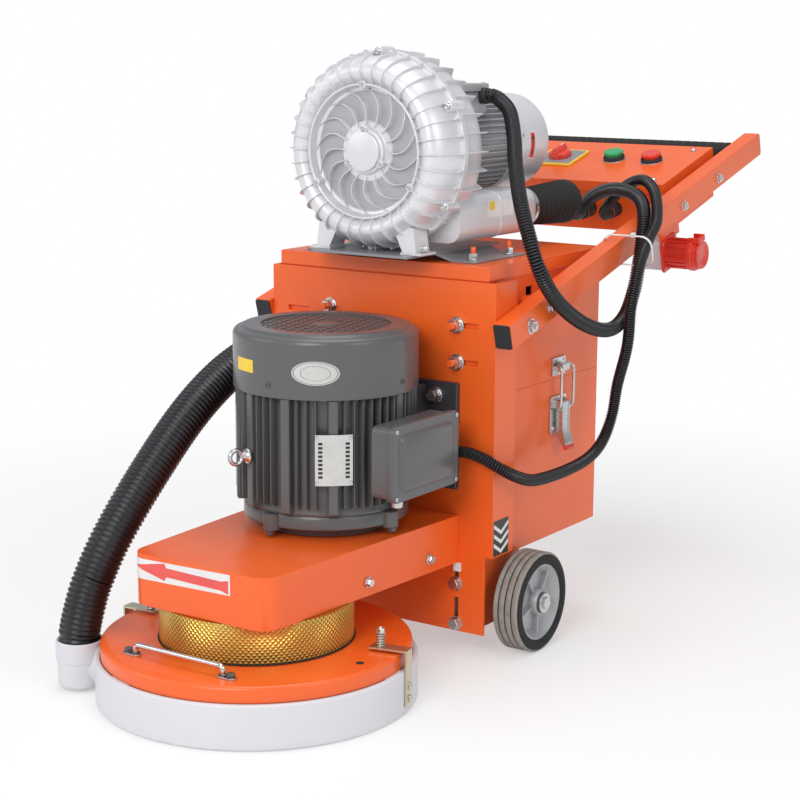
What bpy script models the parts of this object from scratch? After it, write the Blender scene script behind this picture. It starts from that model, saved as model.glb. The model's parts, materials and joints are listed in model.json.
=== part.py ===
"""Walk-behind concrete floor grinder with its own dust collector.

Metres, +Z up, floor at z = 0. The grinding head faces -Y and the handle +Y, and the
dust-bin latch and the mains inlet are on the +X side. Every piece is modelled about the
head's centre, and one empty then moves the whole machine so that the origin is under the
middle of its box.
"""

import math

import bmesh
import bpy
from mathutils import Matrix, Vector

# ------------------------------------------------------------------ clearances
TOUCH = 0.0003           # between faces that rest on each other, and round fixed shafts
RUN = 0.0006             # round shafts that turn in a casing
SLIDE = 0.0006           # between the skirt and the head rim it slides on
SINK = 0.002             # how deep a welded or moulded shape reaches into its neighbour
PAST = 0.004             # how far a cutter runs past the face it opens

# ------------------------------------------------------------------ grinding head
HEAD_R = 0.229
HEAD_TOP = 0.090
HEAD_PLATE_T = 0.005
HEAD_RIM_T = 0.004
HEAD_RIM_DROP = 0.024
SKIRT_WALL = 0.008
SKIRT_FLOOR_GAP = 0.0015
SKIRT_OVERLAP = 0.0005   # of the skirt's top edge over the rim's lower edge
SKIRT_LIFT = 0.006       # how far the skirt can ride up
PORT_ANGLE = math.radians(210)
PORT_REACH = 0.266       # from the head's centre to the port's upright bore
PORT_WALL = 0.0040
PORT_TOP = 0.075
PORT_FLOOR = 0.030
PORT_SPOUT_R = 0.024
DISC_R = 0.190
DISC_T = 0.0125
SHOE_T = 0.0182
SHOE_COUNT = 3
SHOE_INNER_R = 0.105
SHOE_OUTER_R = 0.180
SHOE_HALF_ANGLE = math.radians(24)
SEGMENT_T = 0.009
HUB_FLANGE_R = 0.055
HUB_FLANGE_T = 0.010
SPINDLE_R = 0.018
SPINDLE_TOP_R = 0.016
BEARING_R = 0.036
BEARING_H = 0.044
BEARING_LIFT = 0.008     # of the bearing above the head plate
DRUM_R = 0.1433
DRUM_WALL = 0.006
DRUM_BOSS_WALL = 0.014
DRUM_CAP_T = 0.008
STUD_REACH = 0.196       # from the head's centre to the skirt studs
STUD_R = 0.0035
STUD_ANGLES = {"right": math.radians(13), "left": math.radians(184)}
STRAP_T = 0.003
STRAP_W = 0.022
STRAP_RISE = 0.0035      # of the strap above the head plate
SPRING_R = 0.0068
SPRING_WIRE_R = 0.0009
SPRING_H = 0.021
SPRING_TURNS = 4
NUT_H = 0.005
PULL_ROD_Y = -0.175
PULL_ROD_HALF = 0.080
PULL_ROD_R = 0.004
PULL_ROD_Z = 0.106

# ------------------------------------------------------------------ arm and belt drive
ARM_BOTTOM = 0.150
ARM_TOP = 0.226
ARM_FRONT_Y = -0.135
ARM_FRONT_HALF = 0.1265
ARM_REAR_HALF = 0.150
ARM_CORNER_R = 0.030
ARM_WALL = 0.004
ARM_BASE_T = 0.010
PULLEY_BOTTOM = 0.170
PULLEY_H = 0.032
PULLEY_FLANGE_T = 0.0025
PULLEY_FLANGE_R = 0.006  # of a flange beyond the belt seat
SPINDLE_PULLEY_R = 0.070
MOTOR_PULLEY_R = 0.045
BELT_T = 0.008

# ------------------------------------------------------------------ main motor
MOTOR_Y = 0.172
MOTOR_SHAFT_R = 0.014
SHIELD_TOP = 0.262
SHIELD_BODY_R = 0.118
SHIELD_FOOT_R = 0.100
MOTOR_TOP = 0.4395
FIN_R = 0.137
FIN_ROOT_R = 0.122
FIN_COUNT = 30
STATOR_BORE_R = 0.0865
ROTOR_R = 0.085
COWL_R = 0.140
COWL_H = 0.094
COWL_TOP = MOTOR_TOP + COWL_H
COWL_WALL = 0.003
FAN_R = 0.118
TERMINAL_X = 0.188
TERMINAL_HALF_Y = 0.087
TERMINAL_LOW = 0.294
TERMINAL_HIGH = 0.407
TERMINAL_LID_T = 0.016
MOTOR_FOOT_H = 0.062
CONDUIT_MOTOR_R = 0.0075
CONDUIT_BLOWER_R = 0.0115
GLAND_WALL = 0.0045

# ------------------------------------------------------------------ frame and wheels
BOX_HALF = 0.193         # half width of the dust box, which the frame spans
PLATE_Y = 0.3149
PLATE_T = 0.005
PLATE_HALF = BOX_HALF + 0.0186
PLATE_TOP = 0.592
PLATE_LOW = 0.038
APRON_HALF = PLATE_HALF - 0.0146
FLANGE_DEPTH = 0.062
FLANGE_LOW = 0.165
CHEEK_HALF = PLATE_HALF - 0.0276
CHEEK_T = 0.006
AXLE_Y = 0.405
AXLE_R = 0.010
WHEEL_R = 0.080
WHEEL_W = 0.050
WHEEL_X = PLATE_HALF + 0.0168    # middle of the tread
CORE_R = 0.053
CORE_HUB_R = 0.021

# ------------------------------------------------------------------ dust collector
BOX_REAR_Y = 0.676
BOX_SEAM = 0.4133
BOX_WALL = 0.003
BIN_BOTTOM = 0.153
BIN_TOP = 0.4130
BIN_TRAVEL = 0.300
LID_TOP = 0.6158
LID_DROP = 0.0223
LID_WALL = 0.003
FILTER_R = 0.080
FILTER_X = -0.040
FILTER_Y = 0.490
FILTER_BORE_R = 0.062
FILTER_PLEATS = 24
PLEAT_DEPTH = 0.003
FILTER_H = 0.170
LATCH_Y = 0.540
LATCH_STAND = 0.012      # of the lever's pivot from the bin's side
LATCH_PIVOT_Z = 0.372
LATCH_TAIL_Z = 0.300
LATCH_PLATE_T = 0.003
LATCH_THROW = 0.008      # from the lever's pivot to the bail's
LATCH_PIN_R = 0.002
LATCH_HALF_W = 0.012
BAIL_HALF_W = 0.020
BAIL_REACH = 0.0725      # from the bail's pivot to its hook bar
CATCH_REACH = 0.016
CATCH_TOP = 0.434

# ------------------------------------------------------------------ blower
BASE_T = 0.004
DECK_RISE = 0.014        # of the deck over the lid
DECK_HALF = 0.090
DECK_FRONT_Y = 0.255
DECK_REAR_Y = 0.520
WING_FRONT_Y = 0.337
WING_REAR_Y = 0.492
WING_FOOT_IN = 0.120
WING_FOOT_OUT = 0.160
BLOWER_FRONT_Y = 0.2600
BLOWER_SEAM_Y = 0.3218
BLOWER_REAR_Y = 0.404
BLOWER_R = 0.146
BLOWER_FLANGE_R = BLOWER_R + 0.006
BLOWER_FLANGE_T = 0.005
BLOWER_WALL = 0.0045
BLOWER_RECESS_R = BLOWER_R - 0.062
BLOWER_RECESS = 0.0205
BLOWER_HUB_R = 0.026
LEG_OUT_X = 0.084        # top corners of a leg, and how far each lies inside the casing's surface
LEG_OUT_SINK = 0.0009307
LEG_IN_X = 0.062
LEG_IN_SINK = 0.0009834
IMPELLER_R = BLOWER_R - 0.011
IMPELLER_DEPTH = 0.045
IMPELLER_VANES = 24
BLOWER_SHAFT_R = 0.010
BLOWER_MOTOR_REAR_Y = 0.600
BLOWER_MOTOR_R = 0.075
BLOWER_MOTOR_ROOT_R = 0.066
BLOWER_MOTOR_FINS = 24
BLOWER_COWL_REAR_Y = 0.705
BLOWER_COWL_R = 0.0785
SILENCER_X = 0.085
SILENCER_HALF_X = 0.045
SILENCER_LOW = LID_TOP + 0.0282
SILENCER_HIGH = LID_TOP + 0.1002
SILENCER_FRONT_Y = 0.338
SILENCER_REAR_Y = 0.590
BOOT_LENGTH = 0.145
BOOT_R = 0.030
BOOT_END_R = 0.037
BOOT_WALL = 0.005
BOOT_FOLDS = 6

# ------------------------------------------------------------------ handle and controls
BAR_IN_X = PLATE_HALF + 0.0006
BAR_W = 0.030
BAR_H = 0.040
BAR_LOW = (0.311, 0.514)     # y and z of the bars' lower end, on their centre line
BAR_HIGH = (1.202, 0.7625)
CROSS_Y = 1.150
CROSS_R = 0.010
GRIP_R = 0.0130
CONTROL_Y = 0.986
CONTROL_RISE = 0.0297    # of the control lid's top over the bars' centre line
CONTROL_HALF_X = BAR_IN_X - 0.0162
CONTROL_HALF_U = 0.100
CONTROL_DEPTH = 0.092
CONTROL_WALL = 0.003
CONTROL_LID_H = 0.018
CONTROL_LID_EDGE = 0.004
START_X = 0.045
STOP_X = 0.121
BUTTON_U = 0.014
BUTTON_R = 0.0150
BUTTON_TRAVEL = 0.003
COLLAR_R = 0.0185
COLLAR_H = 0.007
SWITCH_X = -0.063
SWITCH_U = 0.006
SWITCH_PLATE = 0.078
SWITCH_PLATE_T = 0.004
KNOB_R = 0.021
KNOB_H = 0.010
KNOB_GRIP_H = 0.020
CONTROL_GLANDS_X = (0.044, 0.099)
CONTROL_GLAND_W = -0.050
INLET_U = -0.107         # middle of the inlet in the control box's own tilted frame
INLET_W = -0.124
INLET_FLANGE_X = CONTROL_HALF_X + 0.004
INLET_FLANGE_T = 0.006
INLET_SIZE = 0.058
INLET_BACK_DEPTH = 0.045
INLET_R = 0.026
INLET_LENGTH = 0.056
INLET_WALL = 0.004
FLAP_T = 0.006

# ------------------------------------------------------------------ hose and conduits
HOSE_R = 0.031
HOSE_IN_PORT = 0.023     # how deep the hose sits in the skirt port
SPIGOT_X = -(PLATE_HALF - 0.0466)
SPIGOT_Z = 0.472
SPIGOT_LENGTH = 0.030
SPIGOT_WALL = 0.005
HOSE_ROUTE = [
    (-0.2250, -0.128, 0.118),
    (-0.2180, -0.115, 0.162),
    (-0.2040, -0.085, 0.226),
    (-0.1940, -0.020, 0.303),
    (-0.1930, 0.070, 0.378),
    (-0.1900, 0.150, 0.428),
    (-0.1800, 0.215, 0.458),
]
BLOWER_CONDUIT_ROUTE = [
    (0.0880, 0.522, 0.8560),
    (0.1180, 0.502, 0.8380),
    (0.1480, 0.466, 0.8010),
    (0.1740, 0.428, 0.7620),
    (0.2080, 0.386, 0.7130),
    (0.2370, 0.364, 0.6630),
    (0.2580, 0.362, 0.6120),
    (0.2660, 0.402, 0.5620),
    (0.2680, 0.482, 0.5180),
    (0.2680, 0.566, 0.4960),
    (0.2680, 0.622, 0.5090),
    (0.2680, 0.655, 0.5500),
    (0.2670, 0.672, 0.5920),
    (0.2640, 0.688, 0.6280),
    (0.2540, 0.712, 0.6650),
    (0.2300, 0.745, 0.6880),
    (0.1880, 0.785, 0.6980),
    (0.1380, 0.815, 0.6980),
    (0.0900, 0.836, 0.6820),
    (0.0560, 0.848, 0.6520),
]
MOTOR_CONDUIT_ROUTE = [
    (0.1640, 0.2920, 0.3330),
    (0.1800, 0.2990, 0.3310),
    (0.2030, 0.3030, 0.3240),
    (0.2240, 0.3090, 0.3130),
    (0.2400, 0.326, 0.3000),
    (0.2490, 0.356, 0.2880),
    (0.2520, 0.394, 0.2830),
    (0.2530, 0.470, 0.2820),
    (0.2560, 0.535, 0.2900),
    (0.2600, 0.574, 0.3110),
    (0.2640, 0.598, 0.3500),
    (0.2700, 0.603, 0.4020),
    (0.2880, 0.598, 0.4670),
    (0.2950, 0.594, 0.5300),
    (0.2940, 0.620, 0.5940),
    (0.2850, 0.668, 0.6330),
    (0.2800, 0.706, 0.6620),
    (0.2520, 0.752, 0.7020),
    (0.2100, 0.795, 0.7180),
    (0.1640, 0.830, 0.7080),
    (0.1260, 0.848, 0.6820),
    (0.1040, 0.856, 0.6560),
]
HOSE_STEP = 0.070
CONDUIT_STEP = 0.040

# ------------------------------------------------------------------ places worked out from the sizes
PLATE_BACK_Y = PLATE_Y + PLATE_T
BOX_FRONT_Y = PLATE_BACK_Y + TOUCH
BOX_TOP = LID_TOP - LID_WALL - TOUCH
SKIRT_IN_R = HEAD_R + SLIDE
SKIRT_OUT_R = SKIRT_IN_R + SKIRT_WALL
PORT_R = HOSE_R + TOUCH * 2 + PORT_WALL
DISC_BOTTOM = SHOE_T + TOUCH
DISC_TOP = DISC_BOTTOM + DISC_T
HUB_FLANGE_TOP = DISC_TOP + TOUCH + HUB_FLANGE_T
DRUM_BOTTOM = HEAD_TOP + TOUCH
DRUM_TOP = ARM_BOTTOM - TOUCH
SHIELD_BOTTOM = ARM_TOP + TOUCH
FRAME_MOTOR_LOW = SHIELD_TOP + TOUCH
FOOT_Y = PLATE_Y - TOUCH
DECK_TOP = LID_TOP + DECK_RISE
BLOWER_Z = DECK_TOP + BLOWER_FLANGE_R + 0.0015
BAR_MID_X = BAR_IN_X + BAR_W / 2
BAR_SLOPE = math.atan2(BAR_HIGH[1] - BAR_LOW[1], BAR_HIGH[0] - BAR_LOW[0])
INLET_MOUTH_X = INLET_FLANGE_X + INLET_FLANGE_T + INLET_LENGTH
FRONT_REACH = SKIRT_OUT_R
REAR_REACH = BAR_HIGH[0] + BAR_H / 2 * math.sin(BAR_SLOPE)
LEFT_REACH = -PORT_REACH * math.cos(PORT_ANGLE) + PORT_R
RIGHT_REACH = INLET_MOUTH_X + TOUCH + FLAP_T


def bar_centre_z(y):
    """Height of the handle bars' centre line at y."""
    return BAR_LOW[1] + (y - BAR_LOW[0]) * math.tan(BAR_SLOPE)


TERMINAL_GLAND_X = 0.156
TERMINAL_GLAND_Z = 0.333
TERMINAL_GLAND_END = (TERMINAL_GLAND_X, MOTOR_Y + TERMINAL_HALF_Y + 0.014, TERMINAL_GLAND_Z)
EYE_ANGLE = 250
EYE_Z = 0.345
PLATE_SLOTS = [
    # (x limits on the right half), low, high; the left half mirrors them
    ((PLATE_HALF - 0.0686, PLATE_HALF - 0.0606), 0.045, 0.093),
    ((PLATE_HALF - 0.0686, PLATE_HALF - 0.0606), 0.108, 0.142),
    ((PLATE_HALF - 0.0736, PLATE_HALF - 0.0306), 0.463, 0.471),
    ((PLATE_HALF - 0.0736, PLATE_HALF - 0.0306), 0.520, 0.528),
]
INTAKE_X = -0.063
INTAKE_Y = 0.470
INTAKE_R = 0.022
BLOWER_MOTOR_FRONT_Y = BLOWER_REAR_Y + TOUCH
BOX_ON_BLOWER_Y = BLOWER_MOTOR_REAR_Y - 0.075
BLOWER_GLAND_END = (0.062, BOX_ON_BLOWER_Y, BLOWER_Z + BLOWER_MOTOR_R + 0.004)
SPACER = (0.427, 0.549)
HINGE_U = CONTROL_HALF_U + CONTROL_LID_EDGE + 0.0045
HINGE_W = -CONTROL_LID_H
CONTROL_GLAND_LENGTH = 0.024
FLAP_X = INLET_MOUTH_X + TOUCH + FLAP_T / 2
FLAP_W = INLET_W + INLET_R + 0.005


# The control box is modelled flat about the middle of its lid's top, then tilted with the bars.
CONTROL_FRAME = (
    Matrix.Translation((0, CONTROL_Y, bar_centre_z(CONTROL_Y) + CONTROL_RISE))
    @ Matrix.Rotation(BAR_SLOPE, 4, "X")
)

FINISHES = {
    # name: (red, green, blue, roughness, metallic)
    "orange_paint": (0.86, 0.19, 0.035, 0.35, 0.0),
    "motor_grey_paint": (0.13, 0.13, 0.125, 0.40, 0.1),
    "cast_aluminium": (0.60, 0.61, 0.63, 0.42, 0.8),
    "bright_steel": (0.62, 0.62, 0.60, 0.28, 1.0),
    "zinc_plate": (0.62, 0.58, 0.48, 0.38, 0.9),
    "dark_steel": (0.16, 0.16, 0.17, 0.45, 0.9),
    "base_plate_grey": (0.22, 0.23, 0.24, 0.50, 0.4),
    "gold_wrap": (0.80, 0.52, 0.08, 0.30, 0.8),
    "white_urethane": (0.83, 0.83, 0.84, 0.50, 0.0),
    "tyre_rubber": (0.27, 0.25, 0.23, 0.80, 0.0),
    "black_rubber": (0.02, 0.02, 0.02, 0.60, 0.0),
    "black_plastic": (0.025, 0.025, 0.028, 0.45, 0.0),
    "filter_paper": (0.75, 0.72, 0.62, 0.90, 0.0),
    "red_plastic": (0.75, 0.05, 0.03, 0.35, 0.0),
    "green_plastic": (0.02, 0.38, 0.14, 0.35, 0.0),
    "grit_metal": (0.30, 0.28, 0.25, 0.70, 0.6),
}


# ------------------------------------------------------------------ scene and materials
def clear_scene():
    for old in list(bpy.data.objects):
        bpy.data.objects.remove(old, do_unlink=True)


def make_materials():
    """One Principled material for each finish."""
    made = {}
    for name, (red, green, blue, roughness, metallic) in FINISHES.items():
        material = bpy.data.materials.new(name)
        material.use_nodes = True
        shader = material.node_tree.nodes["Principled BSDF"]
        shader.inputs["Base Color"].default_value = (red, green, blue, 1.0)
        shader.inputs["Roughness"].default_value = roughness
        shader.inputs["Metallic"].default_value = metallic
        material.diffuse_color = (red, green, blue, 1.0)
        made[name] = material
    return made


def make_root():
    """The empty that carries the machine from the head's centre to the middle of its box."""
    root = bpy.data.objects.new("grinder_datum", None)
    root.location = ((LEFT_REACH - RIGHT_REACH) / 2, (FRONT_REACH - REAR_REACH) / 2, 0)
    bpy.context.scene.collection.objects.link(root)
    return root


# ------------------------------------------------------------------ shapes
def finished(mesh):
    """The bmesh with its normals facing out."""
    bmesh.ops.recalc_face_normals(mesh, faces=mesh.faces[:])
    return mesh


def prism(outline, low, high, axis="Z"):
    """An outline carried straight along one axis.

    The outline's two numbers are (x, y) for Z, (x, z) for Y and (y, z) for X.
    """
    place = {
        "Z": lambda a, b, h: (a, b, h),
        "Y": lambda a, b, h: (a, h, b),
        "X": lambda a, b, h: (h, a, b),
    }[axis]
    mesh = bmesh.new()
    bottom = [mesh.verts.new(place(a, b, low)) for a, b in outline]
    top = [mesh.verts.new(place(a, b, high)) for a, b in outline]
    mesh.faces.new(bottom)
    mesh.faces.new(top)
    for here in range(len(outline)):
        after = (here + 1) % len(outline)
        mesh.faces.new((bottom[here], bottom[after], top[after], top[here]))
    return finished(mesh)


def block(x, y, z):
    """A box given its two limits along each axis."""
    return prism([(x[0], y[0]), (x[1], y[0]), (x[1], y[1]), (x[0], y[1])], z[0], z[1])


def turned(profile, centre=(0, 0, 0), axis="Z", sides=20):
    """A profile of (radius, distance along the axis) turned about that axis through centre.

    A profile that starts and ends at radius 0 is a solid body with flat ends; any other is a
    closed loop.
    """
    place = {
        "Z": lambda a, b, h: (a, b, h),
        "Y": lambda a, b, h: (b, h, a),
        "X": lambda a, b, h: (h, a, b),
    }[axis]
    centre = Vector(centre)
    mesh = bmesh.new()
    rings = []
    for radius, along in profile:
        if radius == 0:
            continue
        ring = []
        for step in range(sides):
            angle = 2 * math.pi * step / sides
            offset = place(radius * math.cos(angle), radius * math.sin(angle), along)
            ring.append(mesh.verts.new(centre + Vector(offset)))
        rings.append(ring)
    solid = profile[0][0] == 0
    if solid:
        mesh.faces.new(rings[0])
        mesh.faces.new(rings[-1])
    for here in range(len(rings) - solid):
        first = rings[here]
        second = rings[(here + 1) % len(rings)]
        for step in range(sides):
            after = (step + 1) % sides
            mesh.faces.new((first[step], first[after], second[after], second[step]))
    return finished(mesh)


def rod(start, end, radius, sides=12):
    """A round bar between two points."""
    start, end = Vector(start), Vector(end)
    length = (end - start).length
    mesh = turned([(0, 0), (radius, 0), (radius, length), (0, length)], sides=sides)
    turn = (end - start).to_track_quat("Z", "Y").to_matrix().to_4x4()
    return placed(mesh, Matrix.Translation(start) @ turn)


def pipe(start, end, outer, inner, sides=16):
    """A round tube between two points."""
    start, end = Vector(start), Vector(end)
    length = (end - start).length
    loop = [(inner, 0), (outer, 0), (outer, length), (inner, length)]
    turn = (end - start).to_track_quat("Z", "Y").to_matrix().to_4x4()
    return placed(turned(loop, sides=sides), Matrix.Translation(start) @ turn)


def wire(points, radius, sides=6, closed=False):
    """A round wire through the points, its section turned as little as possible."""
    points = [Vector(point) for point in points]
    count = len(points)
    mesh = bmesh.new()
    rings = []
    normal = None
    for index, point in enumerate(points):
        before = points[index - 1] if closed or index else point
        after = points[(index + 1) % count] if closed or index + 1 < count else point
        tangent = (after - before).normalized()
        if normal is None:
            normal = tangent.orthogonal()
        normal = (normal - tangent * normal.dot(tangent)).normalized()
        across = tangent.cross(normal)
        ring = []
        for step in range(sides):
            angle = 2 * math.pi * step / sides
            ring.append(mesh.verts.new(
                point + radius * (math.cos(angle) * normal + math.sin(angle) * across)
            ))
        rings.append(ring)
    if not closed:
        mesh.faces.new(rings[0])
        mesh.faces.new(rings[-1])
    for index in range(count if closed else count - 1):
        first = rings[index]
        second = rings[(index + 1) % count]
        for step in range(sides):
            after = (step + 1) % sides
            mesh.faces.new((first[step], first[after], second[after], second[step]))
    return finished(mesh)


def placed(mesh, matrix):
    """The bmesh moved by a matrix."""
    bmesh.ops.transform(mesh, matrix=matrix, verts=mesh.verts[:])
    return mesh


def arc(centre, radius, start, end, steps):
    """Points along an arc from one angle to another, in degrees."""
    found = []
    for step in range(steps + 1):
        angle = math.radians(start + (end - start) * step / steps)
        found.append((centre[0] + radius * math.cos(angle), centre[1] + radius * math.sin(angle)))
    return found


def toothed(root, tip, count, share=0.42):
    """A round outline with straight fins: each fin fills this share of its pitch."""
    outline = []
    pitch = 2 * math.pi / count
    for tooth in range(count):
        middle = tooth * pitch
        for radius, offset in ((root, -0.5), (tip, -0.5), (tip, 0.5), (root, 0.5)):
            angle = middle + offset * share * pitch
            outline.append((radius * math.cos(angle), radius * math.sin(angle)))
    return outline


def shifted(outline, offset):
    return [(a + offset[0], b + offset[1]) for a, b in outline]


def mirrored(outline):
    return [(-a, b) for a, b in reversed(outline)]


# ------------------------------------------------------------------ pieces
class Maker:
    """Turns meshes into the machine's named pieces, all under one empty."""

    def __init__(self):
        self.root = make_root()
        self.materials = make_materials()

    def link(self, name, mesh, origin=(0, 0, 0)):
        """An object whose origin is at the given place in the machine."""
        bmesh.ops.translate(mesh, verts=mesh.verts[:], vec=-Vector(origin))
        data = bpy.data.meshes.new(name)
        mesh.to_mesh(data)
        mesh.free()
        made = bpy.data.objects.new(name, data)
        made.location = origin
        made.parent = self.root
        bpy.context.scene.collection.objects.link(made)
        return made

    def piece(self, name, finish, base, add=(), cut=(), origin=(0, 0, 0), smooth=35):
        """One sub-part: a base shape with others joined to it and then others cut from it."""
        made = self.link(name, base, origin)
        made.data.materials.append(self.materials[finish])
        made.data.shade_smooth()
        made.data.set_sharp_from_angle(angle=math.radians(smooth))
        for operation, tools in (("UNION", add), ("DIFFERENCE", cut)):
            for index, tool in enumerate(tools):
                helper = self.link(f"{name}_{operation.lower()}_{index}", tool)
                helper.hide_render = True
                helper.display_type = "WIRE"
                modifier = made.modifiers.new(helper.name, "BOOLEAN")
                modifier.operation = operation
                modifier.solver = "EXACT"
                modifier.object = helper
        return made

    def cord(self, name, finish, points, radius, step):
        """A round flexible tube through the points: straight at both ends, one smooth curve between."""
        curve = bpy.data.curves.new(name, "CURVE")
        curve.dimensions = "3D"
        curve.bevel_depth = radius
        curve.bevel_resolution = 2
        curve.use_fill_caps = True
        route = [points[0], *smooth_route(points[1:-1], step), points[-1]]
        spline = curve.splines.new("POLY")
        spline.points.add(len(route) - 1)
        for point, place in zip(spline.points, route):
            point.co = (*place, 1.0)
        curve.materials.append(self.materials[finish])
        made = bpy.data.objects.new(name, curve)
        made.parent = self.root
        bpy.context.scene.collection.objects.link(made)
        return made


def smooth_route(points, step):
    """Places about one step apart on the Catmull-Rom curve through the points."""
    points = [Vector(point) for point in points]
    ends = [2 * points[0] - points[1], *points, 2 * points[-1] - points[-2]]
    dense = []
    for index in range(len(points) - 1):
        before, start, end, after = ends[index : index + 4]
        for part in range(16):
            t = part / 16
            dense.append(0.5 * (
                2 * start
                + (end - before) * t
                + (2 * before - 5 * start + 4 * end - after) * t**2
                + (3 * start - before - 3 * end + after) * t**3
            ))
    dense.append(points[-1])
    lengths = [0.0]
    for here, following in zip(dense, dense[1:]):
        lengths.append(lengths[-1] + (following - here).length)
    count = max(4, round(lengths[-1] / step))
    route = []
    for number in range(count + 1):
        target = lengths[-1] * number / count
        index = max(i for i, length in enumerate(lengths) if length <= target + 1e-9)
        index = min(index, len(dense) - 2)
        share = (target - lengths[index]) / (lengths[index + 1] - lengths[index])
        route.append(dense[index].lerp(dense[index + 1], share))
    return route


# ------------------------------------------------------------------ grinding head
def radial(angle, reach, sideways=0.0):
    """A plan point at a reach from the head's centre, moved sideways across that direction."""
    return (
        reach * math.cos(angle) - sideways * math.sin(angle),
        reach * math.sin(angle) + sideways * math.cos(angle),
    )


def radial_block(angle, reach, half_width, height):
    """A box between two reaches and two heights, in line with a direction from the centre."""
    outline = [
        radial(angle, reach[0], -half_width),
        radial(angle, reach[1], -half_width),
        radial(angle, reach[1], half_width),
        radial(angle, reach[0], half_width),
    ]
    return prism(outline, *height)


STRAP_LOW = HEAD_TOP + STRAP_RISE
SPRING_LOW = STRAP_LOW + STRAP_T + TOUCH
STUD_WASHER = SPRING_LOW + SPRING_H + TOUCH


def make_head_plate(maker):
    """The round pan over the disc, with its rim, skirt studs, lifting holes and hose notch."""
    under = HEAD_TOP - HEAD_PLATE_T
    low = HEAD_TOP - HEAD_RIM_DROP
    bevel = 0.003
    hole = SPINDLE_R + 0.014
    pan = turned([
        (hole, under), (HEAD_R - HEAD_RIM_T, under), (HEAD_R - HEAD_RIM_T, low), (HEAD_R, low),
        (HEAD_R, HEAD_TOP - bevel), (HEAD_R - bevel, HEAD_TOP), (hole, HEAD_TOP),
    ], sides=40)
    studs = []
    for angle in STUD_ANGLES.values():
        x, y = radial(angle, STUD_REACH)
        studs.append(turned([
            (0, under + SINK / 2), (STUD_R, under + SINK / 2), (STUD_R, STUD_WASHER),
            (SPRING_R + SPRING_WIRE_R + 0.001, STUD_WASHER),
            (SPRING_R + SPRING_WIRE_R + 0.001, STUD_WASHER + 0.0015),
            (STUD_R * 1.8, STUD_WASHER + 0.0015), (STUD_R * 1.8, STUD_WASHER + NUT_H),
            (STUD_R, STUD_WASHER + NUT_H), (STUD_R, STUD_WASHER + NUT_H * 1.6),
            (0, STUD_WASHER + NUT_H * 1.6),
        ], (x, y, 0), sides=8))
    lift_hole = rod((0.194, -0.014, under - PAST), (0.194, -0.014, HEAD_TOP + PAST), 0.009)
    maker.piece("head_plate", "orange_paint", pan, add=studs, cut=[lift_hole])


def make_skirt(maker):
    """The floating skirt ring with its hose port, and the two sprung straps that hang it."""
    low = SKIRT_FLOOR_GAP
    high = HEAD_TOP - HEAD_RIM_DROP + SKIRT_OVERLAP
    ring = turned([
        (SKIRT_IN_R, low), (SKIRT_OUT_R - 0.003, low), (SKIRT_OUT_R, low + 0.003),
        (SKIRT_OUT_R, high - 0.002), (SKIRT_OUT_R - 0.002, high), (SKIRT_IN_R, high),
    ], sides=40)
    px, py = radial(PORT_ANGLE, PORT_REACH)
    spout_z = low + 0.004 + PORT_SPOUT_R + PORT_WALL
    inside = radial(PORT_ANGLE, SKIRT_IN_R + SKIRT_WALL / 2)
    behind = radial(PORT_ANGLE, SKIRT_IN_R - 0.012)
    upright = rod((px, py, low + 0.003), (px, py, PORT_TOP), PORT_R, 24)
    spout = rod((*inside, spout_z), (px, py, spout_z), PORT_SPOUT_R + PORT_WALL, 24)
    bore = rod((px, py, PORT_FLOOR), (px, py, PORT_TOP + PAST), PORT_R - PORT_WALL, 24)
    duct = rod((*behind, spout_z), (px, py, spout_z), PORT_SPOUT_R, 24)
    maker.piece("dust_skirt", "white_urethane", ring, add=[spout, upright], cut=[bore, duct])
    for side, angle in STUD_ANGLES.items():
        leg_in = SKIRT_OUT_R + TOUCH
        leg_out = leg_in + STRAP_T
        section = [
            (STUD_REACH - 0.014, STRAP_LOW), (leg_in, STRAP_LOW), (leg_in, low + 0.012),
            (leg_out, low + 0.012),
            (leg_out, STRAP_LOW + STRAP_T), (STUD_REACH - 0.014, STRAP_LOW + STRAP_T),
        ]
        strap = placed(prism(section, -STRAP_W / 2, STRAP_W / 2, "Y"), Matrix.Rotation(angle, 4, "Z"))
        rivets = []
        for height in (0.020, 0.038):
            inner = radial(angle, leg_in + STRAP_T / 2)
            outer = radial(angle, leg_out + 0.002)
            rivets.append(rod((*inner, low + height), (*outer, low + height), 0.004, 10))
        x, y = radial(angle, STUD_REACH)
        hole = rod((x, y, STRAP_LOW - PAST), (x, y, STRAP_LOW + PAST * 2), STUD_R + RUN, 16)
        maker.piece(f"skirt_strap_{side}", "zinc_plate", strap, add=rivets, cut=[hole])
        coil = []
        steps = SPRING_TURNS * 8
        rise = SPRING_H - 2 * SPRING_WIRE_R
        for step in range(steps + 1):
            turn = 2 * math.pi * SPRING_TURNS * step / steps
            coil.append((
                x + SPRING_R * math.cos(turn),
                y + SPRING_R * math.sin(turn),
                SPRING_LOW + SPRING_WIRE_R + rise * step / steps,
            ))
        maker.piece(f"skirt_spring_{side}", "bright_steel", wire(coil, SPRING_WIRE_R, 4), smooth=80)


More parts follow.
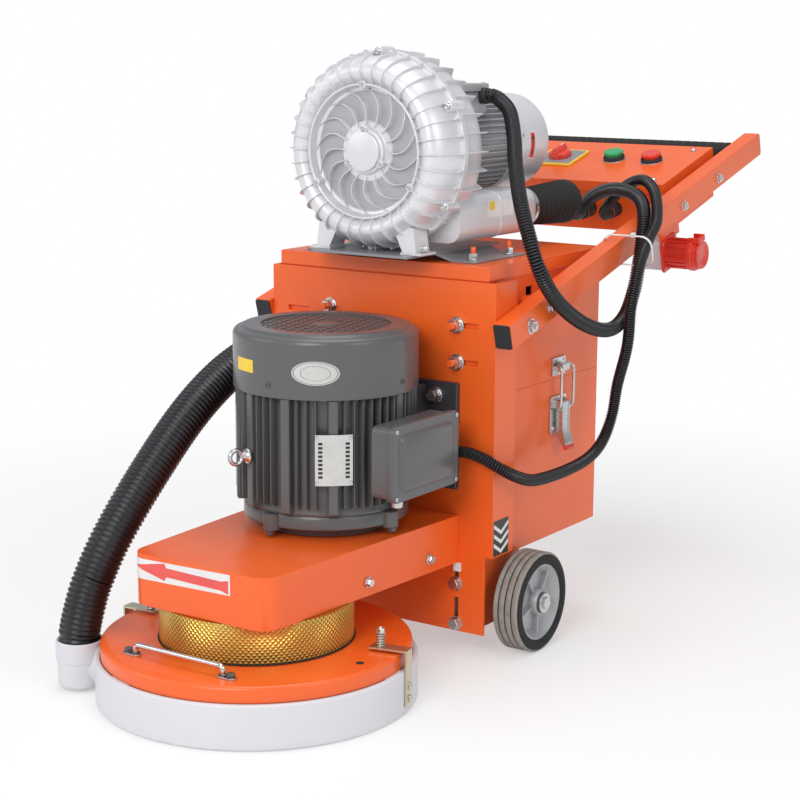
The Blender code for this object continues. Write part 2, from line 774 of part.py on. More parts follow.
def make_pull_rod(maker):
    """The bright bar across the front of the head plate, on its two feet."""
    bend = 0.012
    foot_z = HEAD_TOP + TOUCH
    path = [
        (-PULL_ROD_HALF, PULL_ROD_Y, foot_z),
        (-PULL_ROD_HALF, PULL_ROD_Y, PULL_ROD_Z - bend / 2),
        (-PULL_ROD_HALF + bend / 3, PULL_ROD_Y, PULL_ROD_Z - bend / 6),
        (-PULL_ROD_HALF + bend, PULL_ROD_Y, PULL_ROD_Z),
    ]
    path += [(-x, y, z) for x, y, z in reversed(path)]
    feet = []
    for side in (-1, 1):
        x = side * PULL_ROD_HALF
        feet.append(turned(
            [(0, foot_z), (0.010, foot_z), (0.010, foot_z + 0.003), (0, foot_z + 0.003)],
            (x, PULL_ROD_Y, 0), sides=16,
        ))
    maker.piece("pull_rod", "bright_steel", wire(path, PULL_ROD_R, 10), add=feet, smooth=50)


def make_disc(maker):
    """The grinding disc, its shoes, the spindle that drives it and the spindle's bearing."""
    axis_origin = (0, 0, DISC_BOTTOM)
    disc = turned([
        (0, DISC_BOTTOM), (DISC_R - 0.002, DISC_BOTTOM), (DISC_R, DISC_BOTTOM + 0.002),
        (DISC_R, DISC_TOP - 0.002), (DISC_R - 0.002, DISC_TOP), (0, DISC_TOP),
    ], sides=36)
    maker.piece("grinding_disc", "dark_steel", disc, origin=axis_origin)
    half = math.degrees(SHOE_HALF_ANGLE)
    for number in range(SHOE_COUNT):
        middle = 360 * number / SHOE_COUNT + 90
        sector = arc((0, 0), SHOE_OUTER_R, middle - half, middle + half, 8)
        sector += arc((0, 0), SHOE_INNER_R, middle + half, middle - half, 8)
        holder = prism(sector, SEGMENT_T - SINK, SHOE_T)
        segments = []
        for offset in (-0.55, 0.0, 0.55):
            segments.append(radial_block(
                math.radians(middle + offset * half), (SHOE_INNER_R + 0.010, SHOE_OUTER_R - 0.008),
                0.0075, (0, SEGMENT_T),
            ))
        maker.piece(
            f"grinding_shoe_{number + 1}", "grit_metal", holder, add=segments, origin=axis_origin,
        )
    top = PULLEY_BOTTOM + PULLEY_H + 0.004
    spindle = turned([
        (0, DISC_TOP + TOUCH), (HUB_FLANGE_R, DISC_TOP + TOUCH), (HUB_FLANGE_R, HUB_FLANGE_TOP),
        (SPINDLE_R + 0.008, HUB_FLANGE_TOP), (SPINDLE_R + 0.008, HEAD_TOP - HEAD_PLATE_T),
        (SPINDLE_R, HEAD_TOP), (SPINDLE_R, ARM_BOTTOM), (SPINDLE_TOP_R, ARM_BOTTOM),
        (SPINDLE_TOP_R, top), (0, top),
    ])
    maker.piece("spindle", "bright_steel", spindle, origin=axis_origin)
    low = DRUM_BOTTOM + BEARING_LIFT
    bearing = turned([
        (SPINDLE_R + TOUCH, low), (BEARING_R, low),
        (BEARING_R, low + BEARING_H), (SPINDLE_R + TOUCH, low + BEARING_H),
    ])
    maker.piece("spindle_bearing", "dark_steel", bearing)


def make_drum(maker):
    """The spindle housing: an outer drum and an inner bearing boss under one cap."""
    seat = BEARING_R + TOUCH
    boss = seat + DRUM_BOSS_WALL
    cap_low = DRUM_TOP - DRUM_CAP_T
    bearing_top = DRUM_BOTTOM + BEARING_LIFT + BEARING_H + TOUCH
    inner = DRUM_R - DRUM_WALL
    housing = turned([
        (inner, DRUM_BOTTOM), (DRUM_R, DRUM_BOTTOM), (DRUM_R, DRUM_TOP),
        (SPINDLE_R + 0.003, DRUM_TOP), (SPINDLE_R + 0.003, bearing_top), (seat, bearing_top),
        (seat, DRUM_BOTTOM), (boss, DRUM_BOTTOM), (boss, cap_low), (inner, cap_low),
    ], sides=40)
    maker.piece("spindle_housing", "gold_wrap", housing)


# ------------------------------------------------------------------ arm and belt drive
def arm_outline(inset, rear):
    """The arm's plan: a round-cornered front, widening straight to the rear."""
    front_half = ARM_FRONT_HALF - inset
    corner = ARM_CORNER_R - inset
    front = ARM_FRONT_Y + inset
    centre = (front_half - corner, front + corner)
    length = PLATE_Y - centre[1]
    rear_half = front_half + (ARM_REAR_HALF - ARM_FRONT_HALF) * (rear - centre[1]) / length
    right = [(rear_half, rear), *arc(centre, corner, 0, -90, 6)]
    return right + mirrored(right)


def make_arm(maker):
    """The arm's floor plate and the belt cover over it."""
    rear = PLATE_Y - TOUCH
    floor = prism(arm_outline(ARM_WALL + TOUCH, rear), ARM_BOTTOM, ARM_BOTTOM + ARM_BASE_T)
    shaft_hole = rod((0, 0, ARM_BOTTOM - PAST), (0, 0, ARM_TOP), SPINDLE_R + 0.003, 24)
    maker.piece("arm_floor", "orange_paint", floor, cut=[shaft_hole])
    shell = prism(arm_outline(0, rear), ARM_BOTTOM, ARM_TOP)
    inside = prism(arm_outline(ARM_WALL, rear + PAST), ARM_BOTTOM - PAST, ARM_TOP - ARM_WALL)
    motor_hole = rod(
        (0, MOTOR_Y, ARM_TOP - ARM_WALL - PAST), (0, MOTOR_Y, ARM_TOP + PAST), 0.040, 32,
    )
    maker.piece("belt_cover", "orange_paint", shell, cut=[inside, motor_hole])


def pulley(centre_y, seat_r, bore_r):
    low = PULLEY_BOTTOM
    high = low + PULLEY_H
    rim = seat_r + PULLEY_FLANGE_R
    return turned([
        (bore_r, low), (rim, low), (rim, low + PULLEY_FLANGE_T),
        (seat_r, low + PULLEY_FLANGE_T + 0.001), (seat_r, high - PULLEY_FLANGE_T - 0.001),
        (rim, high - PULLEY_FLANGE_T), (rim, high), (bore_r, high),
    ], (0, centre_y, 0), sides=24)


def belt_outline(grow):
    """The open-belt path round both pulleys, grown outwards from their seats."""
    small = MOTOR_PULLEY_R + grow
    large = SPINDLE_PULLEY_R + grow
    lean = math.degrees(math.asin((large - small) / MOTOR_Y))
    return (
        arc((0, MOTOR_Y), small, lean, 180 - lean, 20)
        + arc((0, 0), large, 180 - lean, 360 + lean, 24)
    )


def make_belt_drive(maker):
    """Both pulleys and the flat belt round them."""
    maker.piece(
        "spindle_pulley", "dark_steel",
        pulley(0, SPINDLE_PULLEY_R, SPINDLE_TOP_R + TOUCH), origin=(0, 0, PULLEY_BOTTOM),
    )
    maker.piece(
        "motor_pulley", "dark_steel",
        pulley(MOTOR_Y, MOTOR_PULLEY_R, MOTOR_SHAFT_R + TOUCH), origin=(0, MOTOR_Y, PULLEY_BOTTOM),
    )
    low = PULLEY_BOTTOM + PULLEY_FLANGE_T + 0.002
    high = PULLEY_BOTTOM + PULLEY_H - PULLEY_FLANGE_T - 0.002
    belt = prism(belt_outline(RUN + BELT_T), low, high)
    hollow = prism(belt_outline(RUN), low - PAST, high + PAST)
    maker.piece("drive_belt", "black_rubber", belt, cut=[hollow])


# ------------------------------------------------------------------ main motor
def make_motor(maker):
    """The upright motor: end shield, finned frame with its feet, rotor, fan, cowl, boxes."""
    axis = (0, MOTOR_Y, 0)
    shaft_hole = MOTOR_SHAFT_R + RUN
    shield = turned([
        (shaft_hole, SHIELD_BOTTOM), (SHIELD_FOOT_R, SHIELD_BOTTOM),
        (SHIELD_FOOT_R + 0.002, SHIELD_BOTTOM + 0.010), (SHIELD_BODY_R, SHIELD_BOTTOM + 0.016),
        (SHIELD_BODY_R, SHIELD_TOP), (shaft_hole, SHIELD_TOP),
    ], axis, sides=32)
    ears = []
    for quarter in range(4):
        angle = math.radians(45 + 90 * quarter)
        x, y = radial(angle, SHIELD_BODY_R)
        ears.append(rod(
            (x, MOTOR_Y + y, SHIELD_BOTTOM + 0.008), (x, MOTOR_Y + y, SHIELD_TOP), 0.012, 12,
        ))
    maker.piece("motor_end_shield", "motor_grey_paint", shield, add=ears)

    fins = prism(shifted(toothed(FIN_ROOT_R, FIN_R, FIN_COUNT), (0, MOTOR_Y)), FRAME_MOTOR_LOW, MOTOR_TOP)
    feet = []
    for side in (-1, 1):
        for low in (FRAME_MOTOR_LOW + 0.006, MOTOR_TOP - 0.004 - MOTOR_FOOT_H):
            inner, outer = sorted((side * 0.052, side * 0.150))
            feet.append(block((inner, outer), (FOOT_Y - 0.012, FOOT_Y), (low, low + MOTOR_FOOT_H)))
            inner, outer = sorted((side * 0.058, side * 0.094))
            feet.append(
                block(
                    (inner, outer),
                    (MOTOR_Y + 0.075, FOOT_Y - 0.006),
                    (low + 0.006, low + MOTOR_FOOT_H - 0.006),
                )
            )
    seat = block(
        (FIN_ROOT_R - 0.01, TERMINAL_X - 0.050), (MOTOR_Y - 0.055, MOTOR_Y + 0.055),
        (TERMINAL_LOW + 0.010, TERMINAL_HIGH - 0.010),
    )
    bore = rod((0, MOTOR_Y, FRAME_MOTOR_LOW - PAST), (0, MOTOR_Y, MOTOR_TOP + PAST), STATOR_BORE_R, 20)
    maker.piece("motor_frame", "motor_grey_paint", fins, add=[*feet, seat], cut=[bore])

    rotor = turned([
        (0, PULLEY_BOTTOM - 0.003), (MOTOR_SHAFT_R, PULLEY_BOTTOM - 0.003),
        (MOTOR_SHAFT_R, FRAME_MOTOR_LOW + 0.012), (ROTOR_R, FRAME_MOTOR_LOW + 0.012),
        (ROTOR_R, MOTOR_TOP - 0.030), (MOTOR_SHAFT_R, MOTOR_TOP - 0.030),
        (MOTOR_SHAFT_R, MOTOR_TOP + 0.062), (0, MOTOR_TOP + 0.062),
    ], axis)
    maker.piece("motor_rotor", "bright_steel", rotor, origin=axis)

    fan_low = MOTOR_TOP + 0.022
    hub = turned([
        (MOTOR_SHAFT_R + TOUCH, fan_low), (0.034, fan_low), (0.034, fan_low + 0.028),
        (MOTOR_SHAFT_R + TOUCH, fan_low + 0.028),
    ], axis, sides=24)
    blades = []
    for number in range(6):
        blade = radial_block(
            math.radians(60 * number), (0.030, FAN_R), 0.0015, (fan_low, fan_low + 0.024),
        )
        blades.append(placed(blade, Matrix.Translation(axis)))
    maker.piece("motor_fan", "black_plastic", hub, add=blades, origin=(0, MOTOR_Y, fan_low))

    low = MOTOR_TOP + TOUCH
    edge = 0.010
    cowl = turned([
        (0, COWL_TOP), (COWL_R - edge, COWL_TOP), (COWL_R - edge * 0.3, COWL_TOP - edge * 0.3),
        (COWL_R, COWL_TOP - edge), (COWL_R, low), (COWL_R - COWL_WALL, low),
        (COWL_R - COWL_WALL, COWL_TOP - edge), (COWL_R - edge - 0.002, COWL_TOP - COWL_WALL),
        (0, COWL_TOP - COWL_WALL),
    ], axis, sides=44)
    slots = []
    grille_r = 0.104
    pitch = 0.024
    for row in range(-4, 5):
        y = MOTOR_Y + row * pitch
        half = math.sqrt(grille_r**2 - (row * pitch) ** 2)
        slots.append(
            block((-half, half), (y - 0.008, y + 0.008), (COWL_TOP - COWL_WALL - PAST, COWL_TOP + PAST))
        )
    maker.piece("motor_cowl", "motor_grey_paint", cowl, cut=slots)

    box_low = FIN_R + 0.0018
    lid_in = TERMINAL_X - TERMINAL_LID_T
    front, back = MOTOR_Y - TERMINAL_HALF_Y, MOTOR_Y + TERMINAL_HALF_Y
    body = block(
        (box_low, lid_in - TOUCH),
        (front + 0.006, back - 0.006),
        (TERMINAL_LOW + 0.003, TERMINAL_HIGH - 0.003),
    )
    hollow = block(
        (box_low + 0.004, lid_in + PAST), (front + 0.010, back - 0.010),
        (TERMINAL_LOW + 0.007, TERMINAL_HIGH - 0.007),
    )
    glands = [
        rod(
            (TERMINAL_GLAND_X, back - 0.012, TERMINAL_GLAND_Z),
            TERMINAL_GLAND_END,
            CONDUIT_MOTOR_R + GLAND_WALL,
            16,
        ),
        rod(
            (TERMINAL_GLAND_X, front + 0.050, TERMINAL_LOW + 0.005),
            (TERMINAL_GLAND_X, front + 0.050, TERMINAL_LOW - 0.010),
            0.011,
            12,
        ),
    ]
    maker.piece("motor_terminal_box", "motor_grey_paint", body, add=glands, cut=[hollow])
    lid = block((lid_in, TERMINAL_X - 0.003), (front, back), (TERMINAL_LOW, TERMINAL_HIGH))
    raised = block(
        (lid_in + 0.002, TERMINAL_X),
        (front + 0.006, back - 0.006),
        (TERMINAL_LOW + 0.006, TERMINAL_HIGH - 0.006),
    )
    maker.piece("motor_terminal_lid", "motor_grey_paint", lid, add=[raised])

    angle = math.radians(EYE_ANGLE)
    inner = radial(angle, FIN_R + TOUCH)
    outer = radial(angle, FIN_R + 0.014)
    centre = radial(angle, FIN_R + 0.022)
    stem = rod((inner[0], MOTOR_Y + inner[1], EYE_Z), (outer[0], MOTOR_Y + outer[1], EYE_Z), 0.006, 12)
    loop = []
    for step in range(20):
        turn = 2 * math.pi * step / 20
        reach = FIN_R + 0.022 + 0.010 * math.cos(turn)
        x, y = radial(angle, reach)
        loop.append((x, MOTOR_Y + y, EYE_Z + 0.010 * math.sin(turn)))
    maker.piece("motor_eye_bolt", "zinc_plate", stem, add=[wire(loop, 0.003, 8, closed=True)], smooth=60)


# ------------------------------------------------------------------ frame and wheels
def make_frame(maker):
    """The upright plate with its side flanges, lower apron, axle cheeks and hose spigot."""
    plate = block((-PLATE_HALF, PLATE_HALF), (PLATE_Y, PLATE_BACK_Y), (FLANGE_LOW, PLATE_TOP))
    add = [block((-APRON_HALF, APRON_HALF), (PLATE_Y, PLATE_BACK_Y), (PLATE_LOW, FLANGE_LOW + SINK))]
    cut = []
    for side in (-1, 1):
        inner, outer = sorted((side * (PLATE_HALF - PLATE_T), side * PLATE_HALF))
        add.append(
            block((inner, outer), (PLATE_BACK_Y - SINK, PLATE_Y + FLANGE_DEPTH), (FLANGE_LOW, PLATE_TOP))
        )
        inner, outer = sorted((side * (CHEEK_HALF - CHEEK_T), side * CHEEK_HALF))
        cheek = [
            (PLATE_BACK_Y - SINK, 0.045), (0.425, 0.045), (0.445, 0.065), (0.445, BIN_BOTTOM - TOUCH),
            (PLATE_BACK_Y - SINK, BIN_BOTTOM - TOUCH),
        ]
        add.append(prism(cheek, inner, outer, "X"))
        for x, low, high in PLATE_SLOTS:
            left, right = sorted((side * x[0], side * x[1]))
            cut.append(block((left, right), (PLATE_Y - PAST, PLATE_BACK_Y + PAST), (low, high)))
    spigot_end = PLATE_Y - SPIGOT_LENGTH
    bore = HOSE_R - SPIGOT_WALL
    add.append(
        rod(
            (SPIGOT_X, PLATE_Y + SINK, SPIGOT_Z),
            (SPIGOT_X, spigot_end, SPIGOT_Z),
            HOSE_R + SPIGOT_WALL,
            24,
        )
    )
    cut.append(
        rod((SPIGOT_X, PLATE_BACK_Y + PAST, SPIGOT_Z), (SPIGOT_X, spigot_end - PAST, SPIGOT_Z), bore, 24)
    )
    cut.append(rod((-PLATE_HALF, AXLE_Y, WHEEL_R), (PLATE_HALF, AXLE_Y, WHEEL_R), AXLE_R + TOUCH, 24))
    maker.piece("frame", "orange_paint", plate, add=add, cut=cut)


def make_wheels(maker):
    """The axle with its spacers and end washers, and the two wheels that turn on it."""
    half = WHEEL_W / 2
    hub_half = half - 0.001
    spacer_in = CHEEK_HALF + TOUCH
    hub_in = WHEEL_X - hub_half
    hub_out = WHEEL_X + hub_half
    right = [
        (AXLE_R, spacer_in), (0.015, spacer_in), (0.015, hub_in - RUN), (AXLE_R, hub_in - RUN),
        (AXLE_R, hub_out + RUN), (0.016, hub_out + RUN), (0.016, hub_out + 0.004),
        (AXLE_R, hub_out + 0.004), (AXLE_R, hub_out + 0.008), (0, hub_out + 0.008),
    ]
    profile = [(r, -x) for r, x in reversed(right)] + right
    centre = (0, AXLE_Y, WHEEL_R)
    maker.piece("axle", "bright_steel", turned(profile, centre, "X", 14))
    for name, side in (("right", 1), ("left", -1)):
        tread = turned([
            (CORE_R, -half + 0.002), (WHEEL_R - 0.006, -half), (WHEEL_R, -half + 0.005),
            (WHEEL_R, half - 0.005), (WHEEL_R - 0.006, half), (CORE_R, half - 0.002),
        ], (side * WHEEL_X, AXLE_Y, WHEEL_R), "X", 40)
        origin = (side * WHEEL_X, AXLE_Y, WHEEL_R)
        maker.piece(f"tyre_{name}", "tyre_rubber", tread, origin=origin)
        seat = CORE_R - TOUCH
        core = turned([
            (AXLE_R + RUN, -hub_half), (CORE_HUB_R, -hub_half), (CORE_HUB_R + 0.002, -0.008),
            (0.042, -0.008),
            (0.045, -half + 0.003), (seat, -half + 0.003), (seat, half - 0.003), (0.045, half - 0.003),
            (0.042, 0.008), (CORE_HUB_R + 0.002, 0.008), (CORE_HUB_R, hub_half), (AXLE_R + RUN, hub_half),
        ], (side * WHEEL_X, AXLE_Y, WHEEL_R), "X", 24)
        maker.piece(f"wheel_core_{name}", "cast_aluminium", core, origin=origin)


# ------------------------------------------------------------------ dust collector
def tub(x, y, z, wall, open_top, open_bottom):
    """An outer box and the box that hollows it."""
    low = z[0] - PAST if open_bottom else z[0] + wall
    high = z[1] + PAST if open_top else z[1] - wall
    inside = block((x[0] + wall, x[1] - wall), (y[0] + wall, y[1] - wall), (low, high))
    return block(x, y, z), inside


def make_dust_collector(maker):
    """The filter box, its lid, the filter that hangs in it and the bin that slides out below."""
    x = (-BOX_HALF, BOX_HALF)
    y = (BOX_FRONT_Y, BOX_REAR_Y)
    body, inside = tub(x, y, (BOX_SEAM, BOX_TOP), BOX_WALL, True, True)
    catches = []
    for side in (-1, 1):
        inner, outer = sorted((side * (BOX_HALF - BOX_WALL / 2), side * (BOX_HALF + CATCH_REACH)))
        catches.append(block(
            (inner, outer), (LATCH_Y - LATCH_HALF_W, LATCH_Y + LATCH_HALF_W),
            (CATCH_TOP - 0.006, CATCH_TOP),
        ))
        inner, outer = sorted((side * (BOX_HALF - BOX_WALL / 2), side * (BOX_HALF + LATCH_PLATE_T)))
        catches.append(
            block(
                (inner, outer),
                (LATCH_Y - 0.020, LATCH_Y + 0.020),
                (CATCH_TOP - 0.014, CATCH_TOP + 0.014),
            )
        )
    duct = rod(
        (SPIGOT_X, BOX_FRONT_Y - PAST, SPIGOT_Z), (SPIGOT_X, BOX_FRONT_Y + BOX_WALL + PAST, SPIGOT_Z),
        HOSE_R - SPIGOT_WALL, 32,
    )
    vent = block((BOX_HALF - BOX_WALL - PAST, BOX_HALF + PAST), (0.434, 0.454), (0.560, 0.574))
    maker.piece("dust_box", "orange_paint", body, add=catches, cut=[inside, duct, vent])

    grow = LID_WALL + 0.0012
    lid_y = (PLATE_Y + 0.0019, BOX_REAR_Y + grow)
    lid, hollow = tub(
        (x[0] - grow, x[1] + grow), lid_y, (LID_TOP - LID_DROP, LID_TOP), LID_WALL, False, True,
    )
    mouth = rod(
        (INTAKE_X, INTAKE_Y, LID_TOP - LID_WALL - PAST), (INTAKE_X, INTAKE_Y, LID_TOP + PAST),
        INTAKE_R - 0.004, 24,
    )
    maker.piece("dust_box_lid", "orange_paint", lid, cut=[hollow, mouth])

    outline = shifted(toothed(FILTER_R - PLEAT_DEPTH, FILTER_R, FILTER_PLEATS, 0.5), (FILTER_X, FILTER_Y))
    low = BOX_TOP - FILTER_H
    cartridge = prism(outline, low, BOX_TOP)
    core = rod((FILTER_X, FILTER_Y, low + 0.008), (FILTER_X, FILTER_Y, BOX_TOP + PAST), FILTER_BORE_R, 24)
    maker.piece("filter_cartridge", "filter_paper", cartridge, cut=[core])

    body, inside = tub(x, y, (BIN_BOTTOM, BIN_TOP), BOX_WALL, True, False)
    add = []
    for side in (-1, 1):
        add += latch_mount(side)
    maker.piece(
        "dust_bin", "orange_paint", body, add=add, cut=[inside], origin=(0, BOX_REAR_Y, BIN_BOTTOM),
    )


def latch_x(side, near, far):
    return sorted((side * near, side * far))


LATCH_X = BOX_HALF + LATCH_STAND
LATCH_LUG_IN = LATCH_HALF_W + TOUCH * 2
LATCH_LUG_OUT = LATCH_LUG_IN + 0.004
LATCH_LUG_HALF = LATCH_PIN_R + 0.0015     # keeps clear of the bail's pin as the lever swings
BAIL_Z = LATCH_PIVOT_Z - LATCH_THROW


def latch_mount(side):
    """The latch's plate, two lugs and pivot pin on one side of the bin."""
    x = latch_x(side, BOX_HALF - BOX_WALL / 2, BOX_HALF + LATCH_PLATE_T)
    parts = [block(x, (LATCH_Y - 0.025, LATCH_Y + 0.025), (LATCH_PIVOT_Z - 0.047, LATCH_PIVOT_Z + 0.013))]
    for end in (-1, 1):
        y = sorted((LATCH_Y + end * LATCH_LUG_IN, LATCH_Y + end * LATCH_LUG_OUT))
        x = latch_x(side, BOX_HALF + LATCH_PLATE_T / 2, LATCH_X + LATCH_LUG_HALF)
        parts.append(block(x, y, (LATCH_PIVOT_Z - LATCH_LUG_HALF, LATCH_PIVOT_Z + LATCH_LUG_HALF)))
    pin_half = LATCH_LUG_IN + 0.002
    parts.append(rod(
        (side * LATCH_X, LATCH_Y - pin_half, LATCH_PIVOT_Z),
        (side * LATCH_X, LATCH_Y + pin_half, LATCH_PIVOT_Z),
        LATCH_PIN_R, 16,
    ))
    return parts


def make_latches(maker):
    """The over-centre lever and its wire bail on each side of the bin."""
    bore = LATCH_PIN_R + 0.0004
    for name, side in (("right", 1), ("left", -1)):
        inner = LATCH_X - 0.0045
        outer = LATCH_X + 0.0045
        outline = [
            (inner, LATCH_PIVOT_Z + 0.0055), (inner, LATCH_PIVOT_Z - 0.047),
            (LATCH_X + 0.010, LATCH_TAIL_Z),
            (LATCH_X + 0.017, LATCH_TAIL_Z), (LATCH_X + 0.012, LATCH_PIVOT_Z - 0.060),
            (outer, LATCH_PIVOT_Z - 0.038), (outer, LATCH_PIVOT_Z + 0.0055),
        ]
        if side < 0:
            outline = mirrored(outline)
        lever = prism(outline, LATCH_Y - LATCH_HALF_W, LATCH_Y + LATCH_HALF_W, "Y")
        holes = []
        for z in (LATCH_PIVOT_Z, BAIL_Z):
            holes.append(rod(
                (side * LATCH_X, LATCH_Y - LATCH_HALF_W - PAST, z),
                (side * LATCH_X, LATCH_Y + LATCH_HALF_W + PAST, z),
                bore, 16,
            ))
        maker.piece(
            f"latch_lever_{name}", "bright_steel", lever, cut=holes, origin=(
                side * LATCH_X, LATCH_Y, LATCH_PIVOT_Z,
            ),
        )
        reach = BAIL_Z + BAIL_REACH
        half = [
            (side * LATCH_X, LATCH_Y, BAIL_Z),
            (side * LATCH_X, LATCH_Y + BAIL_HALF_W - 0.002, BAIL_Z),
            (side * (LATCH_X + 0.002), LATCH_Y + BAIL_HALF_W, BAIL_Z + 0.002),
            (side * (LATCH_X + 0.0075), LATCH_Y + BAIL_HALF_W, BAIL_Z + 0.010),
            (side * (LATCH_X + 0.0075), LATCH_Y + BAIL_HALF_W, reach - 0.006),
            (side * (LATCH_X + 0.0045), LATCH_Y + BAIL_HALF_W, reach - 0.001),
            (side * (LATCH_X - 0.001), LATCH_Y + BAIL_HALF_W - 0.001, reach),
            (side * (LATCH_X - 0.002), LATCH_Y + BAIL_HALF_W - 0.004, reach),
            (side * (LATCH_X - 0.002), LATCH_Y, reach),
        ]
        loop = half + [(px, 2 * LATCH_Y - py, pz) for px, py, pz in reversed(half[1:-1])]
        maker.piece(
            f"latch_bail_{name}", "bright_steel", wire(loop, LATCH_PIN_R, 8, closed=True),
            origin=(side * LATCH_X, LATCH_Y, BAIL_Z), smooth=60,
        )


# ------------------------------------------------------------------ blower
def make_blower(maker):
    """The side-channel blower: base, two casing halves, impeller, motor, cowl and outlet boot."""
    deck_low = DECK_TOP - BASE_T
    foot = LID_TOP + TOUCH
    deck = block((-DECK_HALF, DECK_HALF), (DECK_FRONT_Y, DECK_REAR_Y), (deck_low, DECK_TOP))
    wing = [
        (0.080, deck_low + 0.0008), (WING_FOOT_IN - 0.002, foot), (WING_FOOT_OUT, foot),
        (WING_FOOT_OUT, foot + BASE_T - 0.001),
        (WING_FOOT_IN, foot + BASE_T - 0.001), (0.0845, DECK_TOP - 0.0008), (0.080, DECK_TOP - 0.0008),
    ]
    wings = [
        prism(wing, WING_FRONT_Y, WING_REAR_Y, "Y"),
        prism(mirrored(wing), WING_FRONT_Y, WING_REAR_Y, "Y"),
    ]
    duct = rod((INTAKE_X, INTAKE_Y, LID_TOP), (INTAKE_X, INTAKE_Y, DECK_TOP + PAST), INTAKE_R + 0.002, 24)
    maker.piece("blower_base", "base_plate_grey", deck, add=wings, cut=[duct])

    centre = (0, 0, BLOWER_Z)
    seam = BLOWER_SEAM_Y
    front = BLOWER_FRONT_Y
    recess = front + BLOWER_RECESS
    wall = BLOWER_WALL
    casing = turned([
        (0, front + 0.008), (BLOWER_HUB_R, front + 0.008), (BLOWER_HUB_R + 0.004, recess),
        (BLOWER_RECESS_R, recess),
        (BLOWER_RECESS_R + 0.007, front + 0.004), (BLOWER_RECESS_R + 0.014, front + 0.0005),
        (BLOWER_RECESS_R + 0.026, front), (BLOWER_R - 0.022, front + 0.005),
        (BLOWER_R - 0.007, front + 0.020),
        (BLOWER_R, front + 0.048), (BLOWER_R, seam - BLOWER_FLANGE_T),
        (BLOWER_FLANGE_R, seam - BLOWER_FLANGE_T),
        (BLOWER_FLANGE_R, seam - TOUCH), (BLOWER_R - wall, seam - TOUCH),
        (BLOWER_R - wall, front + 0.050),
        (BLOWER_R - 0.011, front + 0.024), (BLOWER_R - 0.024, front + 0.0098),
        (BLOWER_RECESS_R + 0.026, front + wall), (BLOWER_RECESS_R + 0.012, front + 0.008),
        (BLOWER_RECESS_R + 0.004, recess + wall), (0, recess + wall),
    ], centre, "Y", 36)
    legs = []
    for side in (-1, 1):
        leg = [
            (0.060, DECK_TOP + TOUCH), (0.090, DECK_TOP + TOUCH),
            (LEG_OUT_X, BLOWER_Z - math.sqrt((BLOWER_R - LEG_OUT_SINK) ** 2 - LEG_OUT_X ** 2)),
            (LEG_IN_X, BLOWER_Z - math.sqrt((BLOWER_R - LEG_IN_SINK) ** 2 - LEG_IN_X ** 2)),
        ]
        foot_outline = [
            (0.050, DECK_TOP + TOUCH), (0.100, DECK_TOP + TOUCH), (0.100, DECK_TOP + 0.006),
            (0.050, DECK_TOP + 0.006),
        ]
        if side < 0:
            leg = mirrored(leg)
            foot_outline = mirrored(foot_outline)
        legs.append(prism(leg, front + 0.0235, seam - 0.009, "Y"))
        legs.append(prism(foot_outline, front + 0.0205, seam - 0.012, "Y"))
    maker.piece("blower_front_casing", "cast_aluminium", casing, add=legs)

    rear = BLOWER_REAR_Y
    shell = turned([
        (0, seam), (BLOWER_FLANGE_R, seam), (BLOWER_FLANGE_R, seam + BLOWER_FLANGE_T),
        (BLOWER_R, seam + BLOWER_FLANGE_T),
        (BLOWER_R, rear - 0.045), (BLOWER_R - 0.007, rear - 0.019), (BLOWER_R - 0.022, rear - 0.005),
        (BLOWER_R - 0.042, rear), (0, rear),
    ], centre, "Y", 36)
    channel = turned([
        (0, seam - PAST), (BLOWER_R - wall, seam - PAST), (BLOWER_R - wall, rear - 0.047),
        (BLOWER_R - 0.012, rear - 0.023), (BLOWER_R - 0.025, rear - 0.010),
        (BLOWER_R - 0.043, rear - wall),
        (0, rear - wall),
    ], centre, "Y", 36)
    half_step = Matrix.Translation(centre) @ Matrix.Rotation(math.pi / 36, 4, "Y") @ Matrix.Translation(
        (0, 0, -BLOWER_Z)
    )
    channel = placed(channel, half_step)
    silencer_z = (SILENCER_LOW + SILENCER_HIGH) / 2
    out_low, out_high = SILENCER_X - SILENCER_HALF_X, SILENCER_X + SILENCER_HALF_X
    outlet = block(
        (out_low, out_high), (SILENCER_FRONT_Y, SILENCER_REAR_Y), (SILENCER_LOW, SILENCER_HIGH),
    )
    inlet = block(
        (-out_high, -out_low), (SILENCER_FRONT_Y, INTAKE_Y + 0.045), (SILENCER_LOW, SILENCER_HIGH),
    )
    pipe_down = rod(
        (INTAKE_X, INTAKE_Y, SILENCER_LOW + SINK), (INTAKE_X, INTAKE_Y, LID_TOP + TOUCH), INTAKE_R, 24,
    )
    spout = rod(
        (SILENCER_X, SILENCER_REAR_Y - SINK, silencer_z),
        (SILENCER_X, SILENCER_REAR_Y + 0.004, silencer_z), BOOT_R, 28,
    )
    out_bore = rod(
        (SILENCER_X, 0.366, silencer_z), (SILENCER_X, SILENCER_REAR_Y + 0.012, silencer_z), 0.022, 24,
    )
    in_bore = rod(
        (-SILENCER_X, 0.366, silencer_z), (-SILENCER_X, INTAKE_Y + 0.020, silencer_z), 0.022, 24,
    )
    down_bore = rod(
        (INTAKE_X, INTAKE_Y, silencer_z + 0.001),
        (INTAKE_X, INTAKE_Y, LID_TOP - PAST),
        INTAKE_R - 0.004,
        24,
    )
    shaft_hole = rod((0, seam, BLOWER_Z), (0, rear + PAST, BLOWER_Z), BLOWER_SHAFT_R + RUN, 20)
    maker.piece(
        "blower_rear_casing", "cast_aluminium", shell, add=[outlet, inlet, pipe_down, spout],
        cut=[channel, out_bore, in_bore, down_bore, shaft_hole],
    )

